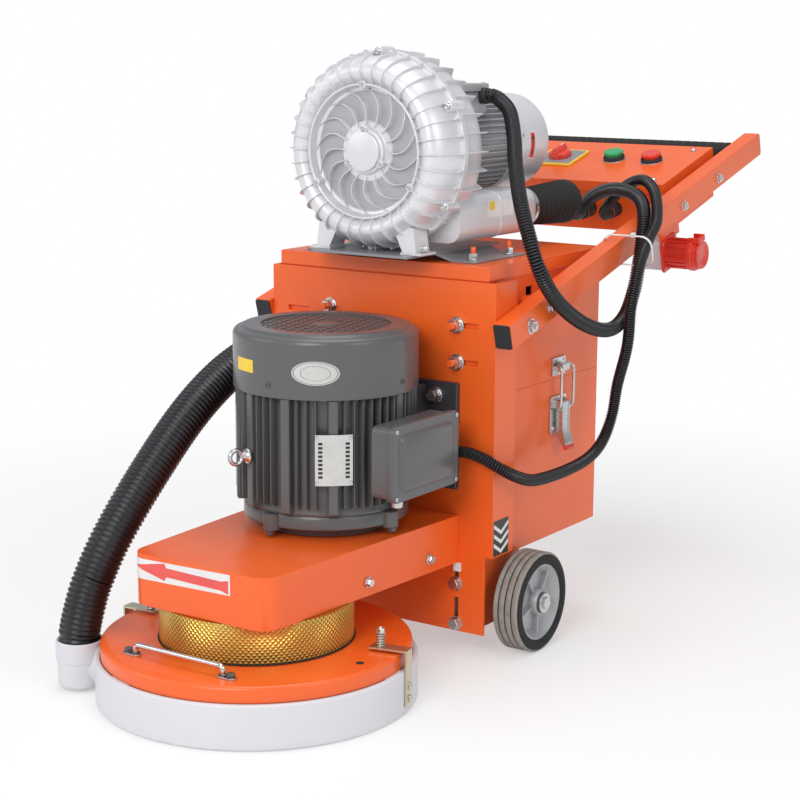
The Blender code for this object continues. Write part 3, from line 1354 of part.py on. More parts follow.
    middle = BLOWER_SEAM_Y
    vane_outline = shifted(toothed(IMPELLER_R - 0.034, IMPELLER_R, IMPELLER_VANES), (0, BLOWER_Z))
    wheel = prism(vane_outline, middle - IMPELLER_DEPTH / 2, middle + IMPELLER_DEPTH / 2, "Y")
    shaft = rod(
        (0, middle - IMPELLER_DEPTH / 2 - 0.006, BLOWER_Z), (0, BLOWER_MOTOR_FRONT_Y + 0.060, BLOWER_Z),
        BLOWER_SHAFT_R, 20,
    )
    maker.piece("blower_impeller", "cast_aluminium", wheel, add=[shaft], origin=(0, middle, BLOWER_Z))

    low = BLOWER_MOTOR_FRONT_Y
    fins = shifted(toothed(BLOWER_MOTOR_ROOT_R, BLOWER_MOTOR_R, BLOWER_MOTOR_FINS), (0, BLOWER_Z))
    finned = prism(fins, low + 0.010, BLOWER_MOTOR_REAR_Y - 0.008, "Y")
    ends = [
        rod((0, low, BLOWER_Z), (0, low + 0.014, BLOWER_Z), BLOWER_MOTOR_R + 0.002, 24),
        rod(
            (0, BLOWER_MOTOR_REAR_Y - 0.012, BLOWER_Z),
            (0, BLOWER_MOTOR_REAR_Y, BLOWER_Z),
            BLOWER_MOTOR_R + 0.002,
            24,
        ),
    ]
    boxes = [
        block(
            (-0.034, 0.034),
            (BOX_ON_BLOWER_Y - 0.034, BOX_ON_BLOWER_Y + 0.034),
            (BLOWER_Z + BLOWER_MOTOR_R - 0.020, BLOWER_Z + BLOWER_MOTOR_R + 0.013),
        ),
        block(
            (-0.040, 0.040),
            (BOX_ON_BLOWER_Y - 0.040, BOX_ON_BLOWER_Y + 0.040),
            (BLOWER_Z + BLOWER_MOTOR_R + 0.009, BLOWER_Z + BLOWER_MOTOR_R + 0.023),
        ),
        rod(
            (0.030, BOX_ON_BLOWER_Y, BLOWER_GLAND_END[2]),
            BLOWER_GLAND_END,
            CONDUIT_BLOWER_R + 0.0035,
            16,
        ),
    ]
    shaft_room = rod((0, low - PAST, BLOWER_Z), (0, low + 0.062, BLOWER_Z), BLOWER_SHAFT_R + RUN, 20)
    maker.piece("blower_motor", "cast_aluminium", finned, add=ends + boxes, cut=[shaft_room])

    near, far = BLOWER_MOTOR_REAR_Y + TOUCH, BLOWER_COWL_REAR_Y
    cowl = turned([
        (0, far), (BLOWER_COWL_R - 0.010, far), (BLOWER_COWL_R - 0.003, far - 0.003),
        (BLOWER_COWL_R, far - 0.010),
        (BLOWER_COWL_R, near), (BLOWER_COWL_R - 0.003, near), (BLOWER_COWL_R - 0.003, far - 0.010),
        (BLOWER_COWL_R - 0.012, far - 0.003), (0, far - 0.003),
    ], centre, "Y", 20)
    slots = []
    for row in range(-2, 3):
        z = BLOWER_Z + row * 0.022
        half = math.sqrt(0.056**2 - (row * 0.022) ** 2)
        slots.append(block((-half, half), (far - 0.003 - PAST, far + PAST), (z - 0.007, z + 0.007)))
    maker.piece("blower_cowl", "cast_aluminium", cowl, cut=slots)

    start = SILENCER_REAR_Y + 0.004 + TOUCH
    outer = []
    for fold in range(BOOT_FOLDS * 2 + 1):
        share = fold / (BOOT_FOLDS * 2)
        radius = BOOT_R + (BOOT_END_R - BOOT_R) * share
        outer.append((radius - (0.004 if fold % 2 else 0), start + BOOT_LENGTH * share))
    inner = [(BOOT_END_R - BOOT_WALL - 0.004, start + BOOT_LENGTH), (BOOT_R - BOOT_WALL - 0.003, start)]
    boot = turned(outer + inner, (SILENCER_X, 0, silencer_z), "Y", 18)
    maker.piece("exhaust_boot", "black_rubber", boot)


# ------------------------------------------------------------------ handle and controls
def make_handle(maker):
    """The two sloping bars with their cross tube and spacers, and the grip on the tube."""
    along = Vector((math.cos(BAR_SLOPE), math.sin(BAR_SLOPE)))
    across = Vector((-math.sin(BAR_SLOPE), math.cos(BAR_SLOPE))) * (BAR_H / 2)
    low, high = Vector(BAR_LOW), Vector(BAR_HIGH)
    outline = [tuple(low - across), tuple(high - across), tuple(high + across), tuple(low + across)]
    bars = [
        prism(outline, side * BAR_MID_X - BAR_W / 2, side * BAR_MID_X + BAR_W / 2, "X") for side in (
            1, -1,
        )
    ]
    cross_z = bar_centre_z(CROSS_Y)
    add = [bars[1], rod((-BAR_MID_X, CROSS_Y, cross_z), (BAR_MID_X, CROSS_Y, cross_z), CROSS_R, 24)]
    for side in (-1, 1):
        y, z = SPACER
        add.append(rod((side * (BOX_HALF + TOUCH), y, z), (side * (BAR_IN_X + SINK), y, z), 0.012, 16))
    maker.piece("handle_frame", "orange_paint", bars[0], add=add)
    half = BAR_IN_X - 0.007
    grip = pipe((-half, CROSS_Y, cross_z), (half, CROSS_Y, cross_z), GRIP_R, CROSS_R + TOUCH, 24)
    maker.piece("grip_sleeve", "black_rubber", grip)


def on_control(x, u, w):
    """A place in the machine from one in the control box's own tilted frame."""
    return tuple(CONTROL_FRAME @ Vector((x, u, w)))


def tilted(mesh):
    return placed(mesh, CONTROL_FRAME)


def make_control_box(maker):
    """The tilted box between the bars with its glands, lid, collars, switch plate and hinge."""
    half_x, half_u = CONTROL_HALF_X, CONTROL_HALF_U
    top = -CONTROL_WALL - TOUCH
    body, inside = tub(
        (-half_x, half_x), (-half_u, half_u), (-CONTROL_DEPTH, top), CONTROL_WALL, True, False,
    )
    add = []
    for x, radius in zip(CONTROL_GLANDS_X, (CONDUIT_BLOWER_R, CONDUIT_MOTOR_R)):
        add.append(rod(
            (x, -half_u + CONTROL_WALL / 2, CONTROL_GLAND_W),
            (x, -half_u - CONTROL_GLAND_LENGTH, CONTROL_GLAND_W),
            radius + GLAND_WALL, 16,
        ))
    for side in (-1, 1):
        for u in (-0.086, 0.058):
            add.append(rod(
                (side * (half_x - CONTROL_WALL / 2), u, -0.031), (side * (BAR_IN_X - TOUCH), u, -0.031),
                0.009, 16,
            ))
        left, right = sorted((side * 0.0606, side * 0.082))
        add.append(
            block(
                (left + 0.001, right - 0.001),
                (half_u - CONTROL_WALL / 2, HINGE_U),
                (HINGE_W - 0.0035, HINGE_W - 0.001),
            )
        )
        add.append(rod((left, HINGE_U, HINGE_W), (right, HINGE_U, HINGE_W), 0.004, 12))
    maker.piece(
        "control_box", "orange_paint", tilted(body), add=[tilted(part) for part in add], cut=[
            tilted(inside)
        ],
    )

    edge = CONTROL_LID_EDGE
    lid, hollow = tub(
        (-half_x - edge, half_x + edge), (-half_u - edge, half_u + edge), (-CONTROL_LID_H, 0),
        CONTROL_WALL, False, True,
    )
    plate = SWITCH_PLATE / 2
    add = [block(
        (SWITCH_X - plate, SWITCH_X + plate), (SWITCH_U - plate, SWITCH_U + plate),
        (-CONTROL_WALL / 2, SWITCH_PLATE_T),
    )]
    cut = [hollow]
    for x in (START_X, STOP_X):
        add.append(rod((x, BUTTON_U, -CONTROL_WALL / 2), (x, BUTTON_U, COLLAR_H), COLLAR_R, 28))
        cut.append(rod((x, BUTTON_U, 0.0005), (x, BUTTON_U, COLLAR_H + PAST), BUTTON_R + RUN, 28))
    add.append(rod((-0.060, HINGE_U, HINGE_W), (0.060, HINGE_U, HINGE_W), 0.004, 12))
    add.append(
        block(
            (-0.058, 0.058),
            (half_u + edge - CONTROL_WALL / 2, HINGE_U),
            (HINGE_W + 0.001, HINGE_W + 0.0035),
        )
    )
    maker.piece(
        "control_lid", "orange_paint", tilted(lid), add=[tilted(part) for part in add],
        cut=[tilted(part) for part in cut], origin=on_control(0, HINGE_U, HINGE_W),
    )

    low = SWITCH_PLATE_T + TOUCH
    knob = rod((SWITCH_X, SWITCH_U, low), (SWITCH_X, SWITCH_U, low + KNOB_H), KNOB_R, 20)
    grip = block(
        (SWITCH_X - 0.006, SWITCH_X + 0.006), (SWITCH_U - KNOB_R + 0.002, SWITCH_U + KNOB_R - 0.002),
        (low + KNOB_H - SINK, low + KNOB_GRIP_H),
    )
    maker.piece(
        "switch_knob", "red_plastic", tilted(knob), add=[tilted(grip)], origin=on_control(
            SWITCH_X, SWITCH_U, low,
        ),
    )
    for name, x, finish in (
        ("start_button", START_X, "green_plastic"), ("stop_button", STOP_X, "red_plastic"),
    ):
        bottom = 0.0005 + BUTTON_TRAVEL + RUN
        cap = turned([
            (0, bottom), (BUTTON_R, bottom), (BUTTON_R, bottom + 0.008),
            (BUTTON_R - 0.003, bottom + 0.0095),
            (0, bottom + 0.0095),
        ], (x, BUTTON_U, 0), sides=28)
        maker.piece(name, finish, tilted(cap), origin=on_control(x, BUTTON_U, bottom))


def make_inlet(maker):
    """The mains inlet under the control box's front corner, with its sprung cap."""
    u, w = INLET_U, INLET_W
    half = INLET_SIZE / 2
    flange_out = INLET_FLANGE_X + INLET_FLANGE_T
    flange = block((INLET_FLANGE_X, flange_out), (u - half, u + half), (w - half, w + half))
    back = block(
        (INLET_FLANGE_X - INLET_BACK_DEPTH, INLET_FLANGE_X + SINK), (u - half + 0.003, u + half - 0.003),
        (w - half + 0.003, w + half - 0.003),
    )
    strap = block(
        (CONTROL_HALF_X + TOUCH, INLET_FLANGE_X + SINK / 2), (u - half + 0.006, u + half + 0.020),
        (w, -0.050),
    )
    collar = rod((INLET_MOUTH_X - 0.016, u, w), (INLET_MOUTH_X - 0.006, u, w), INLET_R + 0.003, 24)
    socket = rod((flange_out - SINK, u, w), (INLET_MOUTH_X, u, w), INLET_R, 24)
    ears = []
    for end in (-1, 1):
        ear = sorted((u + end * 0.0086, u + end * 0.0126))
        ears.append(
            block((INLET_MOUTH_X - 0.014, FLAP_X + 0.003), ear, (w + INLET_R - 0.001, FLAP_W + 0.0035))
        )
    bore = rod((INLET_MOUTH_X - 0.040, u, w), (INLET_MOUTH_X + PAST, u, w), INLET_R - INLET_WALL, 24)
    maker.piece(
        "inlet_body", "red_plastic", tilted(flange),
        add=[tilted(part) for part in (back, strap, socket, collar, *ears)], cut=[tilted(bore)],
    )
    near = INLET_MOUTH_X + TOUCH
    disc = rod((near, u, w), (near + FLAP_T, u, w), INLET_R - 0.001, 24)
    neck = block(
        (near + 0.0004, near + FLAP_T - 0.0004), (u - 0.007, u + 0.007), (w + INLET_R - 0.010, FLAP_W),
    )
    barrel = rod((FLAP_X, u - 0.008, FLAP_W), (FLAP_X, u + 0.008, FLAP_W), 0.003, 12)
    maker.piece(
        "inlet_flap", "red_plastic", tilted(disc), add=[tilted(neck), tilted(barrel)], origin=on_control(
            FLAP_X, u, FLAP_W,
        ),
    )


# ------------------------------------------------------------------ hose and conduits
def make_cords(maker):
    """The suction hose and the two corrugated conduits, each from one end's port to the other's."""
    px, py = radial(PORT_ANGLE, PORT_REACH)
    bottom = PORT_TOP - HOSE_IN_PORT
    spigot_end = PLATE_Y - SPIGOT_LENGTH - TOUCH
    hose = [
        (px, py, bottom), (px, py, PORT_TOP + SKIRT_LIFT + 0.003), *HOSE_ROUTE,
        (SPIGOT_X, spigot_end - 0.026, SPIGOT_Z), (SPIGOT_X, spigot_end, SPIGOT_Z),
    ]
    maker.cord("dust_hose", "black_rubber", hose, HOSE_R, HOSE_STEP)
    ends = []
    for x in CONTROL_GLANDS_X:
        mouth = -CONTROL_HALF_U - CONTROL_GLAND_LENGTH - TOUCH
        ends.append(
            [on_control(x, mouth - 0.012, CONTROL_GLAND_W), on_control(x, mouth, CONTROL_GLAND_W)]
        )
    x, y, z = BLOWER_GLAND_END
    start = [(x + TOUCH, y, z), (x + TOUCH + 0.010, y, z)]
    maker.cord(
        "blower_conduit",
        "black_rubber",
        start + BLOWER_CONDUIT_ROUTE + ends[0],
        CONDUIT_BLOWER_R,
        CONDUIT_STEP,
    )
    x, y, z = TERMINAL_GLAND_END
    start = [(x, y + TOUCH, z), (x, y + TOUCH + 0.006, z)]
    maker.cord(
        "motor_conduit",
        "black_rubber",
        start + MOTOR_CONDUIT_ROUTE + ends[1],
        CONDUIT_MOTOR_R,
        CONDUIT_STEP,
    )


def build():
    clear_scene()
    maker = Maker()
    make_head_plate(maker)
    make_skirt(maker)
    make_pull_rod(maker)
    make_disc(maker)
    make_drum(maker)
    make_arm(maker)
    make_belt_drive(maker)
    make_motor(maker)
    make_frame(maker)
    make_wheels(maker)
    make_dust_collector(maker)
    make_latches(maker)
    make_blower(maker)
    make_handle(maker)
    make_control_box(maker)
    make_inlet(maker)
    make_cords(maker)


build()
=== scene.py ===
"""Walk-behind concrete floor grinder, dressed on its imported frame.

Places are in the machine's own plan: x to the right as seen from its front, y towards the
handle and z up from the floor, measured from the grinding head's centre. Right and left are
as seen from the front too. HEAD puts places on the frame. Lists of points are texts of
millimetres, "a b, a b", which mm() turns into metres. All else is in metres.
"""

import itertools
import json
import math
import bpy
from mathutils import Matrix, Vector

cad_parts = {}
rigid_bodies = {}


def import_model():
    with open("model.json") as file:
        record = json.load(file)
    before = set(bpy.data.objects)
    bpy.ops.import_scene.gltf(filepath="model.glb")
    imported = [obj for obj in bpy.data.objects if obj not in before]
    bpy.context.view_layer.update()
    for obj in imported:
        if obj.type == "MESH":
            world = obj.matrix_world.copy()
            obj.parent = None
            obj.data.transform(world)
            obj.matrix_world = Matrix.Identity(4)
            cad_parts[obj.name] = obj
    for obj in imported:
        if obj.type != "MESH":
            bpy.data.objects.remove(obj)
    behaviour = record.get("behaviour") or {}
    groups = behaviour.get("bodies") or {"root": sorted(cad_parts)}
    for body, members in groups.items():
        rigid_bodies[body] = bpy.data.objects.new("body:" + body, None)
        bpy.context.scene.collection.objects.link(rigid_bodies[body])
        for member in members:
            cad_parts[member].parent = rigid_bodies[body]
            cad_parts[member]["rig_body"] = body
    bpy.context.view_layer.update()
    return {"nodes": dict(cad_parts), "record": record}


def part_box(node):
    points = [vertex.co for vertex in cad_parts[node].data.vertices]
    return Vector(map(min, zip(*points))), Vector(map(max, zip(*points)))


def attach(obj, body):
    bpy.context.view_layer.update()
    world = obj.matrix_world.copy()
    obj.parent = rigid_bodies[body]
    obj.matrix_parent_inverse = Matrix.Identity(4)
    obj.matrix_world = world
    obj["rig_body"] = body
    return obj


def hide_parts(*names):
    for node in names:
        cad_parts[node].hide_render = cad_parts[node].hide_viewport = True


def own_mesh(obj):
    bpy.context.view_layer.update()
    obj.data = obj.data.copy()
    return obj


bl_info = {
    "name": "Concrete Floor Grinder",
    "version": (1, 0, 0),
    "blender": (4, 5, 0),
    "location": "3D View > Sidebar > Grinder",
    "description": "Builds the finished surfaces of a walk-behind concrete floor grinder",
    "category": "Add Mesh",
}

import bmesh
import bpy
import numpy as np
from bpy.props import FloatProperty, FloatVectorProperty, IntProperty, PointerProperty
from mathutils import Matrix

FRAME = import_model()

TAU = 2 * math.pi
HEAD = np.array(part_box("head_plate"), float).mean(axis=0) * (1, 1, 0)
SIDES = {"right": 1, "left": -1}


# ------------------------------------------------------------------ points and forms
def mm(*parts):
    """Points in metres, from texts of millimetres and from lists that are in metres already."""
    return np.vstack([
        np.array([point.split() for point in part.split(",")], float) / 1000
        if isinstance(part, str) else part for part in parts
    ])


class Form:
    """Vertices with quads and flat end loops, of one or more shells."""

    def __init__(self, verts, quads, loops=()):
        self.verts, self.quads, self.loops = verts, quads, list(loops)

    def moved(self, matrix):
        """The form carried by a 4 x 4 matrix."""
        return copies(self, [matrix])

    def at(self, place, way=(0, 0, 1)):
        """The form carried to a place, with its +Z turned onto a direction."""
        return self.moved(facing(place, way))

    def flipped(self, side=-1):
        """The form as it is on one side of the machine: x times 1 or -1."""
        return self.moved(np.diag((side, 1.0, 1.0, 1.0)))


def joined(*parts):
    """One form of all the given forms and lists of forms."""
    forms = [form for part in parts for form in (part if isinstance(part, list) else [part])]
    starts = np.cumsum([0] + [len(form.verts) for form in forms])
    return Form(
        np.vstack([form.verts for form in forms]),
        np.vstack([form.quads + start for form, start in zip(forms, starts)]),
        [loop + start for form, start in zip(forms, starts) for loop in form.loops],
    )


def copies(form, matrices):
    """One copy of the form for each 4 x 4 matrix, worked out as one array."""
    matrices = np.array(matrices, float)
    verts = np.einsum("nij,vj->nvi", matrices[:, :3, :3], form.verts)
    steps = np.arange(len(matrices)) * len(form.verts)
    return Form(
        (verts + matrices[:, None, :3, 3]).reshape(-1, 3),
        (form.quads[None] + steps[:, None, None]).reshape(-1, 4),
        [loop + step for step in steps for loop in form.loops],
    )


def at_each(form, places, way=(0, 0, 1)):
    """A copy of the form at each place, with its +Z turned onto a direction."""
    return copies(form, [facing(place, way) for place in places])


def both(form):
    """The form and its mirror image on the machine's other side."""
    return joined(form.flipped(), form)


def facing(place, way):
    """A 4 x 4 that carries a form's +Z onto a direction at a place."""
    z = np.array(way, float) / np.linalg.norm(way)
    x = np.cross((0, 0, 1) if abs(z[2]) < 0.9 else (0, 1, 0), z)
    x /= np.linalg.norm(x)
    made = np.eye(4)
    made[:3] = np.stack([x, np.cross(z, x), z, place], 1)
    return made


def turn_about(axis, degrees):
    """A 4 x 4 turn about an axis through the origin."""
    return np.array(Matrix.Rotation(math.radians(degrees), 4, axis))


def equal(count, start=0.0):
    """Equal angles all the way round, in degrees."""
    return start + np.arange(count) * 360 / count


def spun(form, axis, angles, centre=(0, 0, 0)):
    """Copies of a form turned about an axis by each angle, then carried to a centre."""
    return copies(form, [turn_about(axis, angle) for angle in angles]).at(centre)


def around(degrees, reach, z=0.0):
    """A place at an angle and a reach from the upright axis: (r cos a, r sin a, z)."""
    a = math.radians(degrees)
    return np.array((reach * math.cos(a), reach * math.sin(a), z))


def lattice(points, wrap_u=False, wrap_v=False, cap_u=False):
    """A grid of points (u, v, 3) as quads, joined round in u or v, or closed by flat ends."""
    count_u, count_v = points.shape[:2]
    u, v = np.meshgrid(
        np.arange(count_u - (not wrap_u)), np.arange(count_v - (not wrap_v)), indexing="ij"
    )
    next_u, next_v = (u + 1) % count_u, (v + 1) % count_v
    corners = ((u, v), (next_u, v), (next_u, next_v), (u, next_v))
    quads = np.stack([a * count_v + b for a, b in corners], -1).reshape(-1, 4)
    ends = [start + np.arange(count_v) for start in (0, (count_u - 1) * count_v)]
    return Form(points.reshape(-1, 3), quads, ends if cap_u else ())


def on_axis(across, other, along, axis):
    """Stacks two cross coordinates and one along coordinate for an axis of X, Y or Z."""
    order = {"Z": (across, other, along), "Y": (other, along, across), "X": (along, across, other)}
    return np.stack(np.broadcast_arrays(*order[axis]), -1)


def turned(profile, centre=(0, 0, 0), axis="Z", steps=96, ripple=None):
    """A profile turned about an axis: point = (r cos u, r sin u, h) for each (r, h) of it.

    A profile that starts off the axis is closed. ripple(u, r) gives a new r.
    """
    r, h = mm(profile).T
    u = np.arange(steps)[:, None] * TAU / steps
    r, h = np.tile(r, (steps, 1)), np.tile(h, (steps, 1))
    closed = r[0, 0] > 0
    if ripple:
        r = ripple(u, r)
    points = on_axis(r * np.cos(u), r * np.sin(u), h, axis)
    return lattice(points + np.array(centre, float), wrap_u=True, wrap_v=closed)


def fluted(count, depth, inner):
    """A ripple for turned(): r + d cos(n u) for the points that lie outside a radius."""
    return lambda u, r: r + depth * np.cos(count * u) * (r > inner)


def rod(radius, low, high, centre=(0, 0, 0), axis="Z", steps=24):
    """A plain round bar: its profile is a radius held from low to high."""
    return turned([(0, low), (radius, low), (radius, high), (0, high)], centre, axis, steps)


def arc(centre, radius, start, end, count):
    """Points of a circle in a profile's plane, in metres, with angles in degrees."""
    a = np.radians(np.linspace(start, end, count))
    return np.stack([centre[0] + radius * np.cos(a), centre[1] + radius * np.sin(a)], -1)


def prism(outline, low, high, axis="Z"):
    """An outline carried straight from low to high along an axis, with flat ends."""
    outline = mm(outline)
    h = np.array([low, high])[:, None]
    points = on_axis(outline[None, :, 0], outline[None, :, 1], h, axis)
    return lattice(points, wrap_v=True, cap_u=True)


def across_y(outline, low, high):
    """An outline of (x, z) points carried straight along Y."""
    return prism(mm(outline)[:, ::-1], low, high, "Y")


def stations(sections):
    """Sections (s, k, 3), each a closed ring of points, skinned in order with flat ends."""
    return lattice(np.array(sections, float), wrap_v=True, cap_u=True)


def slab(limits):
    """A box between two limits along each axis."""
    (x0, x1), (y0, y1), z = mm(limits)
    return prism([(x0, y0), (x1, y0), (x1, y1), (x0, y1)], *z)


def blade(sections):
    """A tapered plate that stands out along X: each section is (x, half width, low, high)."""
    return stations([[(x, -w, low), (x, w, low), (x, w, high), (x, -w, high)]
                     for x, w, low, high in mm(sections)])


def rounded(width, height, radius, centre=(0, 0), corner=6):
    """A rectangle whose corners are quarter circles: corner centre + radius (cos a, sin a)."""
    a = np.linspace(0, math.pi / 2, corner + 1) + np.arange(4)[:, None] * math.pi / 2
    x = np.array([1, -1, -1, 1])[:, None] * (width / 2 - radius) + radius * np.cos(a)
    y = np.array([1, 1, -1, -1])[:, None] * (height / 2 - radius) + radius * np.sin(a)
    return np.stack([x.ravel(), y.ravel()], -1) + centre


def steady_side(tangents):
    """A unit vector square to each tangent, taken from the one fixed direction that none of
    them comes near, so that it never flips over."""
    k = np.arange(60) + 0.5
    up = 1 - 2 * k / 60
    flat, spin = np.sqrt(1 - up**2), math.pi * (1 + 5**0.5) * k
    tries = np.stack([flat * np.cos(spin), flat * np.sin(spin), up], -1)
    worst = np.abs(tangents @ tries.T).max(axis=0)
    side = np.cross(tangents, tries[worst.argmin()])
    return side / np.linalg.norm(side, axis=1, keepdims=True)


def tube(path, radius, sides, closed=False):
    """A round section carried along a path: point = path + r (cos v side + sin v other)."""
    if closed:
        tangents = np.roll(path, -1, 0) - np.roll(path, 1, 0)
    else:
        tangents = np.gradient(path, axis=0)
    tangents /= np.linalg.norm(tangents, axis=1, keepdims=True)
    side = steady_side(tangents)
    v = (np.arange(sides) * TAU / sides)[:, None]
    ring = np.cos(v) * side[:, None] + np.sin(v) * np.cross(tangents, side)[:, None]
    r = np.broadcast_to(radius, (len(path),))[:, None, None]
    return lattice(path[:, None] + r * ring, wrap_u=closed, wrap_v=True, cap_u=not closed)


def evenly(path, spacing):
    """The same path with points a fixed distance apart."""
    lengths = np.concatenate([[0], np.cumsum(np.linalg.norm(np.diff(path, axis=0), axis=1))])
    count = max(2, round(lengths[-1] / spacing) + 1)
    wanted = np.linspace(0, lengths[-1], count)
    return np.stack([np.interp(wanted, lengths, path[:, k]) for k in range(3)], -1)


def curve_through(points, spacing):
    """Evenly spaced points on the Catmull-Rom curve, a cubic in t from each given point to the
    next whose slope at a point is half the step between its two neighbours."""
    ends = np.vstack([2 * points[0] - points[1], points, 2 * points[-1] - points[-2]])
    t = np.linspace(0, 1, 24, endpoint=False)[None, :, None]
    p0, p1, p2, p3 = (ends[k : len(ends) - 3 + k, None] for k in range(4))
    dense = 0.5 * (
        2 * p1 + (p2 - p0) * t + (2 * p0 - 5 * p1 + 4 * p2 - p3) * t**2
        + (3 * p1 - p0 - 3 * p2 + p3) * t**3
    )
    return evenly(np.vstack([dense.reshape(-1, 3), points[-1:]]), spacing)


def path_length(path):
    """The sum of the distances between a path's neighbouring points."""
    return float(np.linalg.norm(np.diff(path, axis=0), axis=1).sum())


# ------------------------------------------------------------------ finishes
def add(tree, kind, inputs, **settings):
    """Adds a shader node, and gives back its outputs. An input is a value or a socket."""
    node = tree.nodes.new("ShaderNode" + kind)
    for name, value in settings.items():
        setattr(node, name, value)
    feed(tree, node, inputs)
    return node.outputs


def feed(tree, node, inputs):
    """Gives a node its inputs, each a value or a socket to link."""
    for name, value in inputs.items():
        if isinstance(value, bpy.types.NodeSocket):
            tree.links.new(value, node.inputs[name])
        else:
            node.inputs[name].default_value = value


class Finish:
    """A material's nodes, added in order."""

    def __init__(self, name, roughness, metallic=0.0, coat=0.0, specular=0.5):
        self.material = bpy.data.materials.new(name)
        self.material.use_nodes = True
        self.tree = self.material.node_tree
        self.shader = self.tree.nodes["Principled BSDF"]
        self.set({"Roughness": roughness, "Metallic": metallic, "Coat Weight": coat,
                  "Coat Roughness": 0.12, "Specular IOR Level": specular})
        self.place = self.add("TexCoord", {})["Object"]
        self.normal = None

    def add(self, kind, inputs, **settings):
        return add(self.tree, kind, inputs, **settings)

    def set(self, inputs):
        feed(self.tree, self.shader, inputs)

    def noise(self, scale, detail=3.0, roughness=0.55, vector=None):
        """Even noise on the object's own coordinates, or on a given vector."""
        return self.add("TexNoise", {"Scale": scale, "Detail": detail, "Roughness": roughness,
                                     "Vector": vector or self.place})["Fac"]

    def ramp(self, value, stops):
        """Maps a value through (position, grey) stops."""
        colour = self.add("ValToRGB", {"Fac": value})["Color"]
        elements = colour.node.color_ramp.elements
        while len(elements) < len(stops):
            elements.new(0.5)
        for element, (position, tone) in zip(elements, stops):
            element.position = position
            element.color = (tone, tone, tone, 1)
        return colour

    def colours(self, share, first, second):
        """Blends from a first colour, or a colour socket, to a second, and paints with it."""
        first = (*first, 1) if isinstance(first, tuple) else first
        mixed = self.add("Mix", {0: share, 6: first, 7: (*second, 1)}, data_type="RGBA")[2]
        self.set({"Base Color": mixed})
        return mixed

    def gloss(self, value, low, high):
        """Lets the roughness follow a value from low to high."""
        self.set({"Roughness": self.add(
            "MapRange", {"Value": value, "To Min": low, "To Max": high})["Result"]})

    def bump(self, value, distance, strength=1.0):
        """Raises the surface by a value, on top of the bumps before it."""
        inputs = {"Height": value, "Distance": distance, "Strength": strength}
        if self.normal:
            inputs["Normal"] = self.normal
        self.normal = self.add("Bump", inputs)["Normal"]
        self.set({"Normal": self.normal})


def scaled(colour, factor):
    """A colour whose channels are multiplied by a factor, up to 1."""
    return tuple(min(1.0, channel * factor) for channel in colour)


def enamel(made, colour, roughness, peel):
    """Sprayed paint: slow colour drift, orange-peel bump and a few dull, dusty patches."""
    made.colours(made.noise(6, 2), scaled(colour, 0.90), scaled(colour, 1.06))
    made.gloss(made.noise(22, 4), roughness - 0.07, roughness + 0.10)
    made.bump(made.noise(420, 1), peel)
    made.bump(made.noise(35, 2), peel * 2)


def casting(made, colour, roughness, grain):
    """Silver-painted sand casting: fine grain in the surface and patches of darker and lighter
    tone at random.
    """
    made.colours(made.noise(14, 4), scaled(colour, 0.86), scaled(colour, 1.08))
    made.gloss(made.noise(60, 3), roughness - 0.06, roughness + 0.12)
    made.bump(made.noise(700, 2), grain)
    made.bump(made.noise(90, 2), grain * 1.5)


def plated(made, colour, roughness, tint=None):
    """Bright plating with faint rolling lines and cloudy passivation."""
    made.colours(made.noise(45, 4), colour, tint or scaled(colour, 0.75))
    rolled = made.add("Mapping", {"Scale": (1, 1, 30), "Vector": made.place})["Vector"]
    made.gloss(made.noise(30, 2, vector=rolled), roughness - 0.05, roughness + 0.12)
    made.bump(made.noise(260, 2), 0.00008)


def moulded(made, colour, roughness, grain=0.00006):
    """Moulded plastic or rubber: fine even grain and slight gloss changes."""
    made.colours(made.noise(25), scaled(colour, 0.85), scaled(colour, 1.12))
    made.gloss(made.noise(50), roughness - 0.06, roughness + 0.1)
    made.bump(made.noise(900, 2), grain)


def foil(made, colour, _):
    """Embossed foil round the drum: small pyramids in rows that lean both ways."""
    def maths(operation, first, second):
        return made.add("Math", {0: first, 1: second}, operation=operation)["Value"]

    node = made.add("SeparateXYZ", {"Vector": made.place})
    x = maths("SUBTRACT", node["X"], float(HEAD[0]))
    y = maths("SUBTRACT", node["Y"], float(HEAD[1]))
    along = maths("MULTIPLY", maths("ARCTAN2", y, x), DRUM_RADIUS)
    pitch = 0.0078
    first, second = (
        maths("PINGPONG", maths(lean, along, node["Z"]), pitch / 2) for lean in ("ADD", "SUBTRACT")
    )
    height = maths("MINIMUM", first, second)
    made.bump(height, 1.0, 0.55)
    # painted shade and highlight: the colour darkens towards the pyramids' valleys and lightens on
    # their tops
    made.colours(maths("MULTIPLY", height, 2 / pitch), scaled(colour, 0.55), scaled(colour, 1.05))
    made.gloss(made.noise(30), 0.30, 0.42)


def urethane(made, colour, _):
    """Translucent-looking white moulding with faint scuffs near the floor."""
    slow = made.colours(made.noise(5), scaled(colour, 0.95), colour)
    scuffs = made.ramp(made.noise(24, 6, 0.7), [(0.0, 0.0), (0.60, 0.0), (0.80, 0.35)])
    made.colours(scuffs, slow, scaled(colour, 0.80))
    made.set({"Subsurface Weight": 0.12, "Subsurface Radius": (0.01, 0.01, 0.01)})
    made.bump(made.noise(40, 2), 0.0003)


def worn_rubber(made, colour, _):
    """Worn light rubber with dust rubbed into it."""
    dust = made.ramp(made.noise(60, 6, 0.7), [(0.3, 0.0), (0.7, 1.0)])
    made.colours(dust, scaled(colour, 0.72), scaled(colour, 1.15))
    made.bump(made.noise(300, 4), 0.0004)


def cloth(made, colour, _):
    """Pleated filter cloth: a fine fibrous drift and bump."""
    made.colours(made.noise(300, 2), scaled(colour, 0.8), colour)
    made.bump(made.noise(800, 2), 0.0002)


